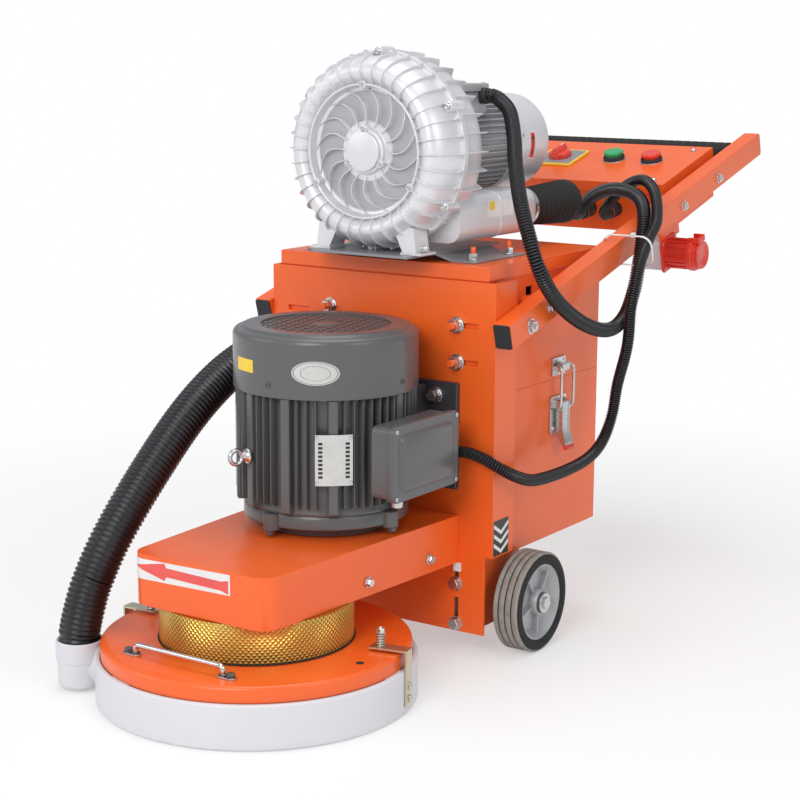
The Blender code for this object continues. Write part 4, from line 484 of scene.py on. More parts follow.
DRUM_RADIUS = 0.1433
FINISHES = {
    # slot, maker, colour or a panel colour's name and share, roughness, and where there are
    # any the maker's own values and the shader's
    "orange_enamel": ("orange_paint", enamel, ("orange", 1), 0.36, (0.00004,), {"coat": 0.22}),
    "motor_enamel": ("motor_grey_paint", enamel, ("motor_grey", 1), 0.34, (0.00006,),
                     {"coat": 0.25}),
    "silver_casting": ("cast_aluminium", casting, ("silver", 1), 0.36, (0.00005,),
                       {"metallic": 0.42}),
    "dull_casting": ("cast_aluminium", casting, ("silver", 0.60), 0.46, (0.00009,),
                     {"metallic": 0.45}),
    "bright_zinc": ("bright_steel", plated, (0.72, 0.72, 0.72), 0.24),
    "yellow_zinc": ("zinc_plate", plated, (0.66, 0.58, 0.38), 0.32, ((0.60, 0.60, 0.50),)),
    "polished_steel": ("bright_steel", plated, (0.78, 0.78, 0.80), 0.10),
    "dark_steel": ("dark_steel", plated, (0.22, 0.22, 0.23), 0.42),
    "plate_metal": (None, plated, (0.80, 0.80, 0.78), 0.34),
    "grit_steel": (None, casting, (0.25, 0.23, 0.20), 0.7, (0.0003,), {"metallic": 0.5}),
    "bracket_grey": ("base_plate_grey", enamel, (0.26, 0.27, 0.285), 0.38, (0.00004,),
                     {"coat": 0.1}),
    "foot_black": ("motor_grey_paint", enamel, (0.048, 0.045, 0.052), 0.40, (0.00008,),
                   {"coat": 0.1}),
    "gold_foil": ("gold_wrap", foil, ("gold", 1), 0.24, (), {"metallic": 1.0}),
    "skirt_white": ("white_urethane", urethane, ("white", 0.88), 0.42, (), {"specular": 0.4}),
    "tread_rubber": ("tyre_rubber", worn_rubber, ("tread", 1), 0.85, (), {"specular": 0.2}),
    "filter_cloth": (None, cloth, (0.72, 0.68, 0.58), 0.95, (), {"specular": 0.1}),
    "black_rubber": ("black_rubber", moulded, (0.017, 0.017, 0.019), 0.52),
    "hose_black": ("black_rubber", moulded, (0.006, 0.006, 0.009), 0.30, (), {"specular": 0.6}),
    "black_plastic": ("black_plastic", moulded, (0.020, 0.020, 0.022), 0.42),
    "red_plastic": ("red_plastic", moulded, ("red", 1), 0.30),
    "green_plastic": ("green_plastic", moulded, ("green", 1), 0.28),
    "pale_plastic": (None, moulded, (0.62, 0.63, 0.66), 0.40),
    "yellow_plastic": (None, moulded, (0.90, 0.62, 0.04), 0.35),
    "white_vinyl": (None, moulded, (0.80, 0.80, 0.80), 0.35, (0.00002,)),
    "red_vinyl": (None, moulded, (0.80, 0.10, 0.085), 0.35, (0.00002,)),
    "black_vinyl": (None, moulded, (0.02, 0.02, 0.02), 0.35, (0.00002,)),
}


def finish(name):
    """The named material, made the first time that it is asked for."""
    if name in bpy.data.materials:
        return bpy.data.materials[name]
    _, maker, colour, roughness, *rest = FINISHES[name]
    own, shader = (*rest, *((), {})[len(rest) :])
    if isinstance(colour[0], str):
        colour = scaled(getattr(bpy.context.scene.grinder_finishes, colour[0]), colour[1])
    made = Finish(name, roughness, **({"metallic": 1.0} if maker is plated else shader))
    maker(made, colour, roughness, *own)
    return made.material


def floor_white():
    """Pale floor that keeps the shadows near the machine and turns plain white farther out."""
    made = Finish("floor_white", 0.9, specular=0.1)
    made.colours(made.noise(2, 2), (0.88, 0.88, 0.88), (0.90, 0.90, 0.90))
    path = made.add("LightPath", {})
    seen = made.add("Math", {0: path["Is Camera Ray"], 1: path["Is Glossy Ray"]},
                    operation="MAXIMUM")[0]
    far = made.add("VectorMath", {0: made.place}, operation="LENGTH")["Value"]
    fade = made.add("MapRange", {"Value": far, "From Min": 0.55, "From Max": 1.9,
                                 "To Min": 0.42, "To Max": 1.0},
                    interpolation_type="SMOOTHSTEP")["Result"]
    share = made.add("Math", {0: seen, 1: fade}, operation="MULTIPLY")[0]
    white = made.add("Emission", {"Color": (1, 1, 1, 1)})[0]
    mixed = made.add("MixShader", {0: share, 1: made.shader.outputs[0], 2: white})[0]
    out = next(node for node in made.tree.nodes if node.type == "OUTPUT_MATERIAL")
    feed(made.tree, out, {"Surface": mixed})
    return made.material


def tint(name, description, default):
    """A colour that a user can change."""
    return FloatVectorProperty(name=name, description=description, subtype="COLOR", size=3,
                               min=0, max=1, default=default)


class GRINDER_PG_finishes(bpy.types.PropertyGroup):
    """The machine's colours."""

    orange: tint("Body orange", "Enamel on the plates, covers, boxes and bars",
                 (0.90, 0.128, 0.014))
    motor_grey: tint("Motor grey", "Enamel on the main motor", (0.098, 0.100, 0.103))
    silver: tint("Casting silver", "Silver paint on the blower", (0.78, 0.775, 0.80))
    gold: tint("Drum gold", "Foil round the spindle housing", (0.95, 0.70, 0.17))
    white: tint("Skirt white", "The floating dust skirt", (0.80, 0.79, 0.83))
    tread: tint("Tread", "The wheels' running surface", (0.33, 0.31, 0.285))
    red: tint("Control red", "Inlet, switch handle and stop button", (0.56, 0.022, 0.016))
    green: tint("Start green", "Start button", (0.01, 0.33, 0.11))


# ------------------------------------------------------------------ pieces
def piece(name, form, look, node, sharp=38, bevel=0.0):
    """Makes one finished piece from a form, at the origin, riding on a frame node's body."""
    form = joined(form)
    faces = form.quads.tolist() + [loop.tolist() for loop in form.loops]
    mesh = bpy.data.meshes.new(name)
    mesh.from_pydata((form.verts + HEAD).tolist(), [], faces)
    shape = bmesh.new()
    shape.from_mesh(mesh)
    bmesh.ops.remove_doubles(shape, verts=shape.verts[:], dist=1e-6)
    bmesh.ops.recalc_face_normals(shape, faces=shape.faces[:])
    shape.to_mesh(mesh)
    shape.free()
    mesh.shade_smooth()
    mesh.set_sharp_from_angle(angle=math.radians(sharp))
    mesh.materials.append(finish(look))
    made = bpy.data.objects.new(name, mesh)
    bpy.context.scene.collection.objects.link(made)
    if bevel:
        soften(made, bevel, sharp)
    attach(made, FRAME["nodes"][node]["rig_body"])
    return made


def stand_in(name, form, look, node, sharp=38, bevel=0.0):
    """A piece that takes the place of its frame node."""
    made = piece(name, form, look, node, sharp, bevel)
    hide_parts(node)
    return made


def soften(solid, width, sharp):
    """Rounds the edges that are sharper than an angle."""
    edge = solid.modifiers.new("edge", "BEVEL")
    edge.width, edge.segments = width, 2
    edge.limit_method = "ANGLE"
    edge.angle_limit = math.radians(sharp)
    edge.harden_normals = True


def dress(node, look, bevel):
    """Gives a frame node its finish, and softens its edges without touching its mesh."""
    solid = FRAME["nodes"][node]
    for holder in solid.material_slots:
        holder.material = finish(look)
    solid.modifiers.new("weld", "WELD").merge_threshold = 0.00002
    if bevel:
        soften(solid, bevel, 35)


def nut(across, height, low=0.0):
    """A hexagon nut whose top corners are cut by a cone: r = min(hexagon, cone)."""
    a = np.arange(6)[:, None] * TAU / 6
    hexagon = across / math.sqrt(3) * np.hstack([np.cos(a), np.sin(a), a * 0])
    return stations([hexagon * share + (0, 0, low + height * up)
                     for share, up in ((1, 0), (1, 0.82), (0.90, 1))])


def washer(radius, thick, low=0.0):
    """A flat disc whose edges are cut back by a quarter of its thickness."""
    edge = thick * 0.25
    return turned(
        [(0, low), (radius - edge, low), (radius, low + edge), (radius, low + thick - edge),
         (radius - edge, low + thick), (0, low + thick)], steps=28,
    )


def threaded(radius, low, high, pitch=0.00125):
    """A threaded end: the radius swings with height, r = R - d (0.5 - 0.5 cos(2 pi h / p))."""
    h = np.linspace(low, high, int((high - low) / pitch * 6))
    r = radius - 0.0004 * (0.5 - 0.5 * np.cos(TAU * (h - low) / pitch))
    tip = high + 0.0008
    return turned(mm([(0, low)], np.stack([r, h], -1), [(radius * 0.8, tip), (0, tip)]), steps=20)


def bolt(washer_r, thick, across, height):
    """A hexagon head or nut, seated a hair into its washer."""
    return joined(washer(washer_r, thick), nut(across, height, thick - 0.0002))


def cap_screw(radius, height):
    """A round socket-head screw: a turned profile with a hollow at its top."""
    return turned(
        [(0, 0), (radius, 0), (radius, height * 0.85), (radius * 0.88, height),
         (radius * 0.52, height), (radius * 0.50, height * 0.45), (0, height * 0.45)], steps=24,
    )


# ------------------------------------------------------------------ places on the machine
MOTOR_Y = 0.172
MOTOR = (0, MOTOR_Y, 0)
BLOWER_Z = 0.7833
BLOWER = np.array((0, 0, BLOWER_Z))
PORT = around(210, 0.266)
STUD_ANGLES = {"right": 13, "left": 184}
STUD_REACH = 0.196
BAR_SLOPE = math.atan2(0.2485, 0.891)
TILT = np.array(Matrix.Rotation(BAR_SLOPE, 4, "X"))
CONTROL = TILT.copy()
CONTROL[:3, 3] = (0, 0.986, 0.514 + 0.675 * math.tan(BAR_SLOPE) + 0.0297)
# where along the control box each conduit ends
GLANDS = {"blower_conduit": 0.044, "motor_conduit": 0.099}
ROUTES = {
    "dust_hose": mm(
        PORT + [(0, 0, z) for z in (0.054, 0.070, 0.084)], "-225 -128 118, -218 -115 162, "
        "-204 -85 226, -194 -20 303, -193 70 378, -190 150 428, -180 215 458, "
        "-165 258.6 472, -165 284.6 472",
    ),
    "blower_conduit": mm(
        "62.3 525 862.3, 72.3 525 862.3, 88 522 856, 118 502 838, 148 466 801, 174 428 762, "
        "208 386 713, 237 364 663, 258 362 612, 266 402 562, 268 482 518, 268 566 496, "
        "268 622 509, 268 655 550, 267 672 592, 264 688 628, 254 712 665, 230 745 688, "
        "188 785 698, 138 815 698, 90 836 682, 56 848 652",
    ),
    "motor_conduit": mm(
        "156 273.3 333, 156 279.3 333, 164 292 333, 180 299 331, 203 303 324, 224 309 313, "
        "240 326 300, 249 356 288, 252 394 283, 253 470 282, 256 535 290, 260 574 311, "
        "264 598 350, 270 603 402, 288 598 467, 295 594 530, 294 620 594, 285 668 633, "
        "280 706 662, 252 752 702, 210 795 718, 164 830 708, 126 848 682, 104 856 656",
    ),
}


def length(name, description, low, high, default):
    """A length that a user can change."""
    return FloatProperty(name=name, description=description, unit="LENGTH", min=low, max=high,
                         default=default)


def number(name, description, low, high, default):
    """A count that a user can change."""
    return IntProperty(name=name, description=description, min=low, max=high, default=default)


class GRINDER_PG_sizes(bpy.types.PropertyGroup):
    """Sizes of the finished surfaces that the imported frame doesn't fix."""

    hose_pitch: length("Hose pitch", "From one rib of the suction hose to the next",
                       0.003, 0.02, 0.0075)
    conduit_pitch: length("Conduit pitch", "From one ring of a cable conduit to the next",
                          0.001, 0.01, 0.0046)
    motor_fins: number("Motor fins", "Thin cooling fins all round the main motor", 24, 96, 60)
    casing_ribs: number("Casing ribs", "Radial ribs all round the blower's bulge", 12, 72, 36)
    hub_ribs: number("Spiral ribs", "Curved ribs in the recess of the blower's front", 6, 36, 16)
    tread_grooves: number("Tread grooves", "Grooves round each wheel", 0, 5, 3)
    edge_round: length("Edge round", "Rounding of the sheet metal's bent edges",
                       0.0002, 0.004, 0.0012)


# ------------------------------------------------------------------ stage and camera
def staged(name, data, turn):
    """Puts an object for the stage into the scene."""
    made = bpy.data.objects.new(name, data)
    bpy.context.scene.collection.objects.link(made)
    made.matrix_world = Matrix(turn.tolist())
    return made


class GRINDER_OT_stage(bpy.types.Operator):
    """Pale floor, soft studio lights, a white surround for the camera alone, and the camera."""

    bl_idname = "grinder.stage"
    bl_label = "Stage and camera"
    bl_options = {"REGISTER", "UNDO"}

    def execute(self, context):
        scene = context.scene
        scene.view_settings.view_transform = "Standard"
        data = bpy.data.cameras.new("camera")
        data.lens, data.sensor_width, data.clip_end = 83.0, 36.0, 60.0
        turn = np.eye(4)
        # the directions to the camera's right, up and back, and its place
        turn[:3] = np.transpose([
            (0.8266, 0.5627, 0.0059), (-0.1138, 0.1569, 0.9810), (0.5511, -0.8116, 0.1938),
            np.array((1.6337, -2.0346, 0.9562)) + HEAD,
        ])
        scene.camera = staged("camera", data, turn)

        scene.world = bpy.data.worlds.new("studio")
        scene.world.use_nodes = True
        tree = scene.world.node_tree
        tree.nodes.clear()
        path = add(tree, "LightPath", {})
        seen = add(tree, "Math", {0: path["Is Camera Ray"], 1: path["Is Transmission Ray"]},
                   operation="MAXIMUM")[0]
        soft = add(tree, "Background", {"Color": (0.93, 0.96, 1.0, 1), "Strength": 0.50})[0]
        white = add(tree, "Background", {"Color": (1, 1, 1, 1)})[0]
        mixed = add(tree, "MixShader", {0: seen, 1: soft, 2: white})[0]
        add(tree, "OutputWorld", {"Surface": mixed})

        mesh = bpy.data.meshes.new("floor")
        half = 14
        corners = [(-half, -half, 0), (half, -half, 0), (half, half, 0), (-half, half, 0)]
        mesh.from_pydata(corners, [], [(0, 1, 2, 3)])
        mesh.materials.append(floor_white())
        staged("floor", mesh, np.eye(4))

        for name, place, aim, size, power, colour in (
            ("key", (0.9, -3.6, 2.7), (0, 0.3, 0.4), 2.2, 84, (1.0, 0.98, 0.95)),
            ("fill", (-3.0, -2.4, 2.2), (0, 0.3, 0.4), 2.6, 26, (0.95, 0.97, 1.0)),
            ("top", (0.0, 0.6, 4.0), (0, 0.4, 0.0), 2.6, 54, (1.0, 1.0, 1.0)),
            ("side", (3.6, -0.4, 2.2), (0, 0.4, 0.4), 2.2, 26, (1.0, 1.0, 1.0)),
        ):
            lamp = bpy.data.lights.new(name, "AREA")
            lamp.shape, lamp.size, lamp.energy, lamp.color = "DISK", size, power, colour
            staged(name, lamp, facing(place + HEAD, np.subtract(place, aim)))
        return {"FINISHED"}


# ------------------------------------------------------------------ hose and conduits
def corrugated(route, radius, depth, pitch, sides, per_pitch):
    """A tube whose radius swings along it: r = R - d (0.5 - 0.5 cos(2 pi s / pitch)) ** 1.5.

    Its ends keep the full radius.
    """
    path = curve_through(route, pitch / per_pitch)
    s = np.arange(len(path)) / per_pitch
    wave = (0.5 - 0.5 * np.cos(TAU * s)) ** 1.5
    wave[:2] = wave[-2:] = 0
    return tube(path, radius - depth * wave, sides), path


class GRINDER_OT_cords(bpy.types.Operator):
    """The suction hose and the two cable conduits.

    Each is a circle carried along a Catmull-Rom curve through its route, and its radius goes
    in and out with the length run, as a ringed plastic tube's does.
    """

    bl_idname = "grinder.cords"
    bl_label = "Hose and conduits"
    bl_options = {"REGISTER", "UNDO"}

    def execute(self, context):
        sizes = context.scene.grinder_sizes
        for name, node, radius, depth, pitch, sides in (
            ("suction_hose", "dust_hose", 0.031, 0.0028, sizes.hose_pitch, 40),
            ("blower_cable_conduit", "blower_conduit", 0.0119, 0.0026, sizes.conduit_pitch, 20),
            ("motor_cable_conduit", "motor_conduit", 0.0096, 0.0021,
             sizes.conduit_pitch * 0.85, 16),
        ):
            route = ROUTES[node]
            if node in GLANDS:
                # the straight run into its gland under the control box
                run = np.array([(GLANDS[node], u, -0.050) for u in (-0.1363, -0.1243)])
                route = mm(route, run @ CONTROL[:3, :3].T + CONTROL[:3, 3])
            form, path = corrugated(route, radius, depth, pitch, sides, 6)
            made = stand_in(name, form, "hose_black", node, 80)
            world = path + HEAD
            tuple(world[0])
            path_length(path)
        return {"FINISHED"}


# ------------------------------------------------------------------ grinding head and skirt
class GRINDER_OT_head(bpy.types.Operator):
    """The head plate, its pull rod and the foil-wrapped drum.

    The plate and the drum are profiles turned about the head's axis: x = r cos u,
    y = r sin u, z = h. The pull rod is a circle carried along a straight with two bends.
    """

    bl_idname = "grinder.head"
    bl_label = "Grinding head"
    bl_options = {"REGISTER", "UNDO"}

    def execute(self, context):
        plate = mm("18.6 85, 18.6 90", arc((0.2225, 0.0835), 0.0065, 90, 0, 8),
                   "229 67, 228.2 66, 225.8 66, 225 66.8, 225 85")
        stand_in("head_cover", turned(plate, steps=180), "orange_enamel", "head_plate")
        drum = turned("137.3 90.5, 143 90.5, 143.3 91, 143.3 149, 143 149.5, 20 149.5, "
                      "20 141.7, 137.3 141.7", steps=180)
        stand_in("drum", drum, "gold_foil", "spindle_housing")
        bead = mm("143 90.2", arc((0.1444, 0.0914), 0.0011, -90, 180, 8), "143 91.8")
        piece("drum_seal", turned(bead, steps=160), "black_rubber", "spindle_housing")
        plug = turned("0 90, 5.8 90, 6 90.3, 5.4 90.6, 4.6 90.2, 0 90.1",
                      (0.1992, -0.0185, 0), steps=24)
        piece("drain_plug", plug, "black_rubber", "head_plate")

        rod_y = -0.175
        right = mm("80 91.2, 80 95", arc((0.074, 0.100), 0.006, 0, 90, 7))
        path = np.insert(np.vstack([right, right[::-1] * (-1, 1)]), 1, rod_y, axis=1)
        stand_in("pull_bar", tube(evenly(path, 0.002), 0.0040, 20), "polished_steel", "pull_rod")
        foot = prism(rounded(0.030, 0.0150, 0.0070, (0.087, rod_y)), 0.0902, 0.0930)
        piece("pull_bar_feet", both(foot), "bright_zinc", "pull_rod", bevel=0.0006)
        bolts = joined(bolt(0.0068, 0.0014, 0.010, 0.0052).at((0.094, rod_y, 0.0930)),
                       turned("0 0, 6.6 0, 6.6 1.8, 4.6 3.4, 0 3.4", (0.080, rod_y, 0.0930),
                              steps=24))
        piece("pull_bar_bolts", both(bolts), "dark_steel", "pull_rod", 30)

        places = [around(angle, STUD_REACH) for angle in STUD_ANGLES.values()]
        studs = at_each(threaded(0.0034, 0.0895, 0.1250), places)
        piece("skirt_studs", studs, "bright_zinc", "head_plate", 60)
        nuts = joined(nut(0.0115, 0.0050, 0.1181), washer(0.0078, 0.0010, 0.1176))
        piece("skirt_stud_nuts", at_each(nuts, places), "bright_zinc", "head_plate", 30)
        return {"FINISHED"}


class GRINDER_OT_skirt(bpy.types.Operator):
    """The floating dust skirt with its hose port, straps' screws and springs.

    The skirt and the port are turned profiles. Each spring is a circle carried along the helix
    (r cos a, r sin a, h a / (2 pi n)), which lies flat for most of a turn at both ends.
    """

    bl_idname = "grinder.skirt"
    bl_label = "Dust skirt"
    bl_options = {"REGISTER", "UNDO"}

    def execute(self, context):
        ring = mm("229.8 3, 231.2 1.6, 235.8 1.6, 237.3 3, 237.6 30",
                  arc((0.2340, 0.0629), 0.0036, 0, 90, 7), "230.6 66.5, 229.8 65.7")
        port = mm("0 4.5", arc((0.0275, 0.0105), 0.0060, -90, 0, 7), "33.5 42.5, 35.4 44.6, "
                  "35.6 46, 35.6 73.5, 34.2 75, 32.4 75, 31.7 74.2, 31.7 30, 0 30")
        neck = turned("0 0, 30 0, 31 1, 31 6, 30 7.2, 28 8, 28 29, 0 29", steps=56)
        skirt = joined(turned(ring, steps=200), turned(port, PORT, steps=72),
                       neck.at(around(210, 0.2345, 0.0340), around(210, 1)))
        stand_in("skirt", skirt, "skirt_white", "dust_skirt")
        screws = [cap_screw(0.0036, 0.0030).at(around(angle, 0.2408, z), around(angle, 1))
                  for angle in STUD_ANGLES.values() for z in (0.0255, 0.0445)]
        piece("strap_screws", screws, "bright_zinc", "dust_skirt", 30)

        low, high, radius, wire = 0.0978, 0.1168, 0.0059, 0.00095
        turns, flat = 6.5, 0.75
        a = np.linspace(0, TAU * turns, 240)
        lift = np.clip((a / TAU - flat) / (turns - 2 * flat), 0, 1)
        helix = np.stack([radius * np.cos(a), radius * np.sin(a), low + (high - low) * lift], -1)
        for side, angle in STUD_ANGLES.items():
            form = tube(helix + around(angle, STUD_REACH), wire, 10)
            spring = stand_in(f"spring_{side}", form, "bright_zinc", f"skirt_spring_{side}", 80)
            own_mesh(spring)
        return {"FINISHED"}


# ------------------------------------------------------------------ arm
def decal_on_arm(s, low, high, lift):
    """A thin sheet on the arm's nose between two heights given along s.

    Seen from above, s runs from the nose's right end, along its front and round its left
    corner, which is a quarter circle.
    """
    front, corner, thick = 0.0965, 0.030, 0.0002
    bend = np.clip(s - 2 * front, 0, None) / corner
    rings = []
    for out, z in ((lift + thick, low), (lift + thick, high), (lift, high), (lift, low)):
        flat = s < 2 * front
        x = np.where(flat, front - s, -front - (corner + out) * np.sin(bend))
        y = np.where(flat, -0.135 - out, -0.105 - (corner + out) * np.cos(bend))
        rings.append(np.stack([x, y, z], -1))
    return stations(np.stack(rings, 1))


class GRINDER_OT_arm(bpy.types.Operator):
    """The belt cover's sticker and its side bolts.

    The sticker follows the nose: (x, y) is the nose's outline at length s, and z runs between
    a lower and an upper edge given along s.
    """

    bl_idname = "grinder.arm"
    bl_label = "Arm"
    bl_options = {"REGISTER", "UNDO"}

    def execute(self, context):
        s = np.linspace(0.035, 0.216, 60)
        drop = (s - 0.125) * 0.02
        piece("arm_sticker", decal_on_arm(s, 0.1912 - drop, 0.2212 - drop, 0.0003),
              "white_vinyl", "belt_cover")
        share = (s - s[0]) / (s[-1] - s[0])
        half = np.where(share > 0.66, 0.0128 * (1 - share) / 0.34, 0.0066)
        half = np.where(share < 0.09, 0.0066 + 0.0042 * (1 - share / 0.09), half)
        middle = 0.2060 - drop + (share - 0.5) * 0.0075
        arrow = decal_on_arm(s[1:-1], (middle - half)[1:-1], (middle + half)[1:-1], 0.0006)
        piece("turning_arrow", arrow, "red_vinyl", "belt_cover")
        bolts = at_each(bolt(0.0085, 0.0014, 0.0120, 0.0058),
                        mm("146.2 238.5 172.2, 137.9 88.3 171"), (1, -0.052, 0))
        piece("arm_bolts", both(bolts), "bright_zinc", "belt_cover", 30)
        return {"FINISHED"}


# ------------------------------------------------------------------ main motor
TERMINAL_Z = 0.3505


def upright(width, height, radius, levels):
    """A rounded box on the motor's right side, whose section at each x has a share of its size."""
    outline = rounded(width, height, radius)
    return stations([np.insert(outline * share + (MOTOR_Y, TERMINAL_Z), 0, x, axis=1)
                     for x, share in levels])


class GRINDER_OT_motor(bpy.types.Operator):
    """The main motor's shield, finned frame, cowl, terminal box, feet and eye bolt.

    Round parts are turned profiles. A fin is a long plate with a tapered outer edge, copied by
    equal turns about the motor's axis. The cowl's mesh is two sets of straight bars, each as
    long as the circle's chord at its place: 2 sqrt(R^2 - t^2).
    """

    bl_idname = "grinder.motor"
    bl_label = "Main motor"
    bl_options = {"REGISTER", "UNDO"}

    def execute(self, context):
        sizes = context.scene.grinder_sizes
        shield = turned("14.6 226.3, 98 226.3, 100 227.5, 102 234.5, 115 240, 124 241.5, "
                        "125.8 243.5, 125.8 259, 124 262, 14.6 262", MOTOR, steps=120)
        ear = turned("0 237.5, 12.5 237.5, 13.5 238.5, 13.5 261, 12.5 262, 0 262",
                     (0.1235, 0, 0), steps=28)
        corners = equal(4, -4)
        stand_in("end_shield", joined(shield, spun(ear, "Z", corners, MOTOR)), "motor_enamel",
                 "motor_end_shield")
        screw = bolt(0.0085, 0.0016, 0.0120, 0.0058).at((0.1290, 0, 0.2376), (0, 0, -1))
        piece("shield_bolts", spun(screw, "Z", corners, MOTOR), "motor_enamel",
              "motor_end_shield", 30)

        barrel = turned("86.5 262.5, 123 262.5, 124 266.5, 122.2 272.5, 122.2 433.3, "
                        "123.5 439.3, 86.5 439.3", MOTOR, steps=120)
        fin = blade("120.5 1.9 272.5 438.3, 136.2 1.1 278.5 438.3, 137.2 0.5 282.5 438.3")
        pad = blade("120 8 266.5 438.3, 135 7.2 267.5 438.3, 136.6 5.8 269.5 438.3")
        # fins go all round, apart from the places that the wide pads take
        fin_angles = equal(sizes.motor_fins)
        pad_angles = np.array((-110, -49, 0, 45, 135, 180, 225, -80))
        gap = np.abs((fin_angles[:, None] - pad_angles + 180) % 360 - 180).min(1)
        fin_angles = fin_angles[gap > 360 / sizes.motor_fins * 0.9]
        barrel = [barrel, spun(fin, "Z", fin_angles, MOTOR), spun(pad, "Z", pad_angles, MOTOR)]
        stand_in("motor_barrel", barrel, "motor_enamel", "motor_frame", 30)
        foot = joined(slab("52 150, 304.6 314.6, 0 62"), slab("58 94, 250 306, 6 56"))
        feet = both(at_each(foot, mm("0 0 268.3, 0 0 373.5")))
        piece("motor_feet", feet, "foot_black", "motor_frame", bevel=0.0020)
        across = 0.0165
        foot_nut = joined(washer(0.0125, 0.0022), washer(across * 0.53, 0.0024, 0.0020),
                          nut(across, 0.0115, 0.0042))
        foot_nuts = both(at_each(foot_nut, mm("112 304.6 309.3, 112 304.6 414.5"), (0, -1, 0)))
        piece("motor_foot_bolts", foot_nuts, "bright_zinc", "motor_frame", 30)

        self.cowl()
        self.terminals()
        place, out = around(250, 0.1370, 0.345) + MOTOR, around(250, 1)
        stem = turned("0 0, 10.5 0, 11.5 1, 11.5 3.5, 7.5 6, 5.8 13, 0 13", steps=28)
        a = np.radians(equal(40))[:, None]
        loop = place + 0.0220 * out + 0.0105 * (np.cos(a) * out + np.sin(a) * (0, 0, 1))
        eye = joined(stem.at(place, out), tube(loop, 0.0034, 14, closed=True))
        stand_in("lifting_eye", eye, "bright_zinc", "motor_eye_bolt", 45)
        return {"FINISHED"}

    def cowl(self):
        """The fan's cowl with its mesh, a black disc of painted shade behind the mesh, and its
        screws.
        """
        shell = mm("137 439.8, 140 439.8, 140.2 442, 140.2 518.5",
                   arc((0.1302, 0.5185), 0.0100, 0, 80, 9)[1:], "128 528.7, 124.5 532.1, "
                   "122 532.7, 101 533.1, 98.4 532.1, 98 525.5, 124 525.5, 137 514.5")
        pitch, bar, reach = 0.0150, 0.0042, 0.0988
        t = np.arange(-11, 12) * pitch
        t = t[np.abs(t) < reach - 0.003]
        bars = joined([slab([(-half, half), (middle - bar / 2, middle + bar / 2), (0, 0.0030)])
                       for middle, half in zip(t, np.sqrt(reach**2 - t**2))])
        mesh = [spun(bars, "Z", [angle], (0, MOTOR_Y, z))
                for angle, z in ((12, 0.5275), (102, 0.5271))]
        disc = turned("0 526.9, 20 526.9, 21.2 527.7, 21.2 530.5, 20 531.1, 0 531.1",
                      MOTOR, steps=40)
        stand_in("cowl", [turned(shell, MOTOR, steps=160), *mesh, disc], "motor_enamel",
                 "motor_cowl", 30)
        # painted shade: a black disc inside the cowl, behind the mesh, stands in for the shade
        # seen through it
        dark = rod(0.1330, 0.5105, 0.5120, MOTOR, steps=60)
        piece("cowl_dark", dark, "black_plastic", "motor_cowl")
        screws = [cap_screw(0.0040, 0.0022).at(around(a, 0.1400, 0.4582) + MOTOR, around(a, 1))
                  for a in (-90.4, 0, 90, 180)]
        piece("cowl_screws", screws, "dark_steel", "motor_cowl", 30)

    def terminals(self):
        """The terminal box on the motor's right side, with its lid, screws and glands."""
        box = upright(0.162, 0.107, 0.010, [(0.1388, 0.96), (0.1415, 1.0), (0.1716, 1.0)])
        stand_in("terminal_box", box, "motor_enamel", "motor_terminal_box", 30)
        lid = upright(0.174, 0.113, 0.012,
                      [(0.1720, 0.988), (0.1734, 1.0), (0.1822, 1.0), (0.1836, 0.985)])
        raised = upright(0.138, 0.084, 0.013,
                         [(0.1830, 1.035), (0.1842, 1.02), (0.1874, 0.97), (0.1880, 0.94)])
        stand_in("terminal_lid", [lid, raised], "motor_enamel", "motor_terminal_lid", 40)
        places = itertools.product((0.1834,), (-0.079, 0.079), (-0.0495, 0.0495))
        screws = at_each(cap_screw(0.0034, 0.0022), places, (1, 0, 0))
        piece("terminal_screws", screws.at((0, MOTOR_Y, TERMINAL_Z)), "bright_zinc",
              "motor_terminal_lid", 30)
        gland = joined(nut(0.0200, 0.0065),
                       turned("0 6, 9.4 6, 9.8 9, 9 18.5, 7.6 20, 0 20", steps=28))
        glands = [gland.at((0.156, 0.2532, 0.333), (0, 1, 0)),
                  gland.at((0.156, 0.135, 0.2968), (0, 0, -1))]
        piece("terminal_glands", glands, "bright_zinc", "motor_terminal_box", 35)


# ------------------------------------------------------------------ blower
# the profile of the front casing's bulge, which its ribs follow
BULGE = (
    "104 271.6, 106.2 269, 109.4 265.2, 113 262.2, 117 260.3, 121 260, 125.5 261.2, 130.2 264.2, "
    "134.8 269.6, 138.8 277, 142 286, 144.2 296, 145.5 306, 146 315"
)


def on_blower(degrees, reach, y):
    """A place round the blower's axis: (r cos a, y, r sin a) from its centre."""
    x, z, _ = around(degrees, reach)
    return BLOWER + (x, y, z)


def flange_places(y):
    """The six places round the casings' flange that its screws hold."""
    return [on_blower(angle, 0.1490, y) for angle in equal(6, 28)]


def rib_on(profile, lift, sink, width):
    """A rib that follows a profile of (r, y) points and stands off it along its normal."""
    way = np.gradient(profile, axis=0)
    out = np.stack([way[:, 1], -way[:, 0]], -1) / np.linalg.norm(way, axis=1, keepdims=True)
    top, base = profile + out * lift, profile - out * sink
    rings = [
        np.stack([np.full(len(points), half), points[:, 1], points[:, 0]], -1)
        for points, half in ((base, -width / 2), (top, -width * 0.275), (top, width * 0.275),
                             (base, width / 2))
    ]
    return stations(np.stack(rings, 1))


def wedge(sections):
    """A plate even in x: each section is its half width, y and z at one end and at the other."""
    return stations([[(-w0, y0, z0), (w0, y0, z0), (w1, y1, z1), (-w1, y1, z1)]
                     for w0, y0, z0, w1, y1, z1 in mm(sections)])


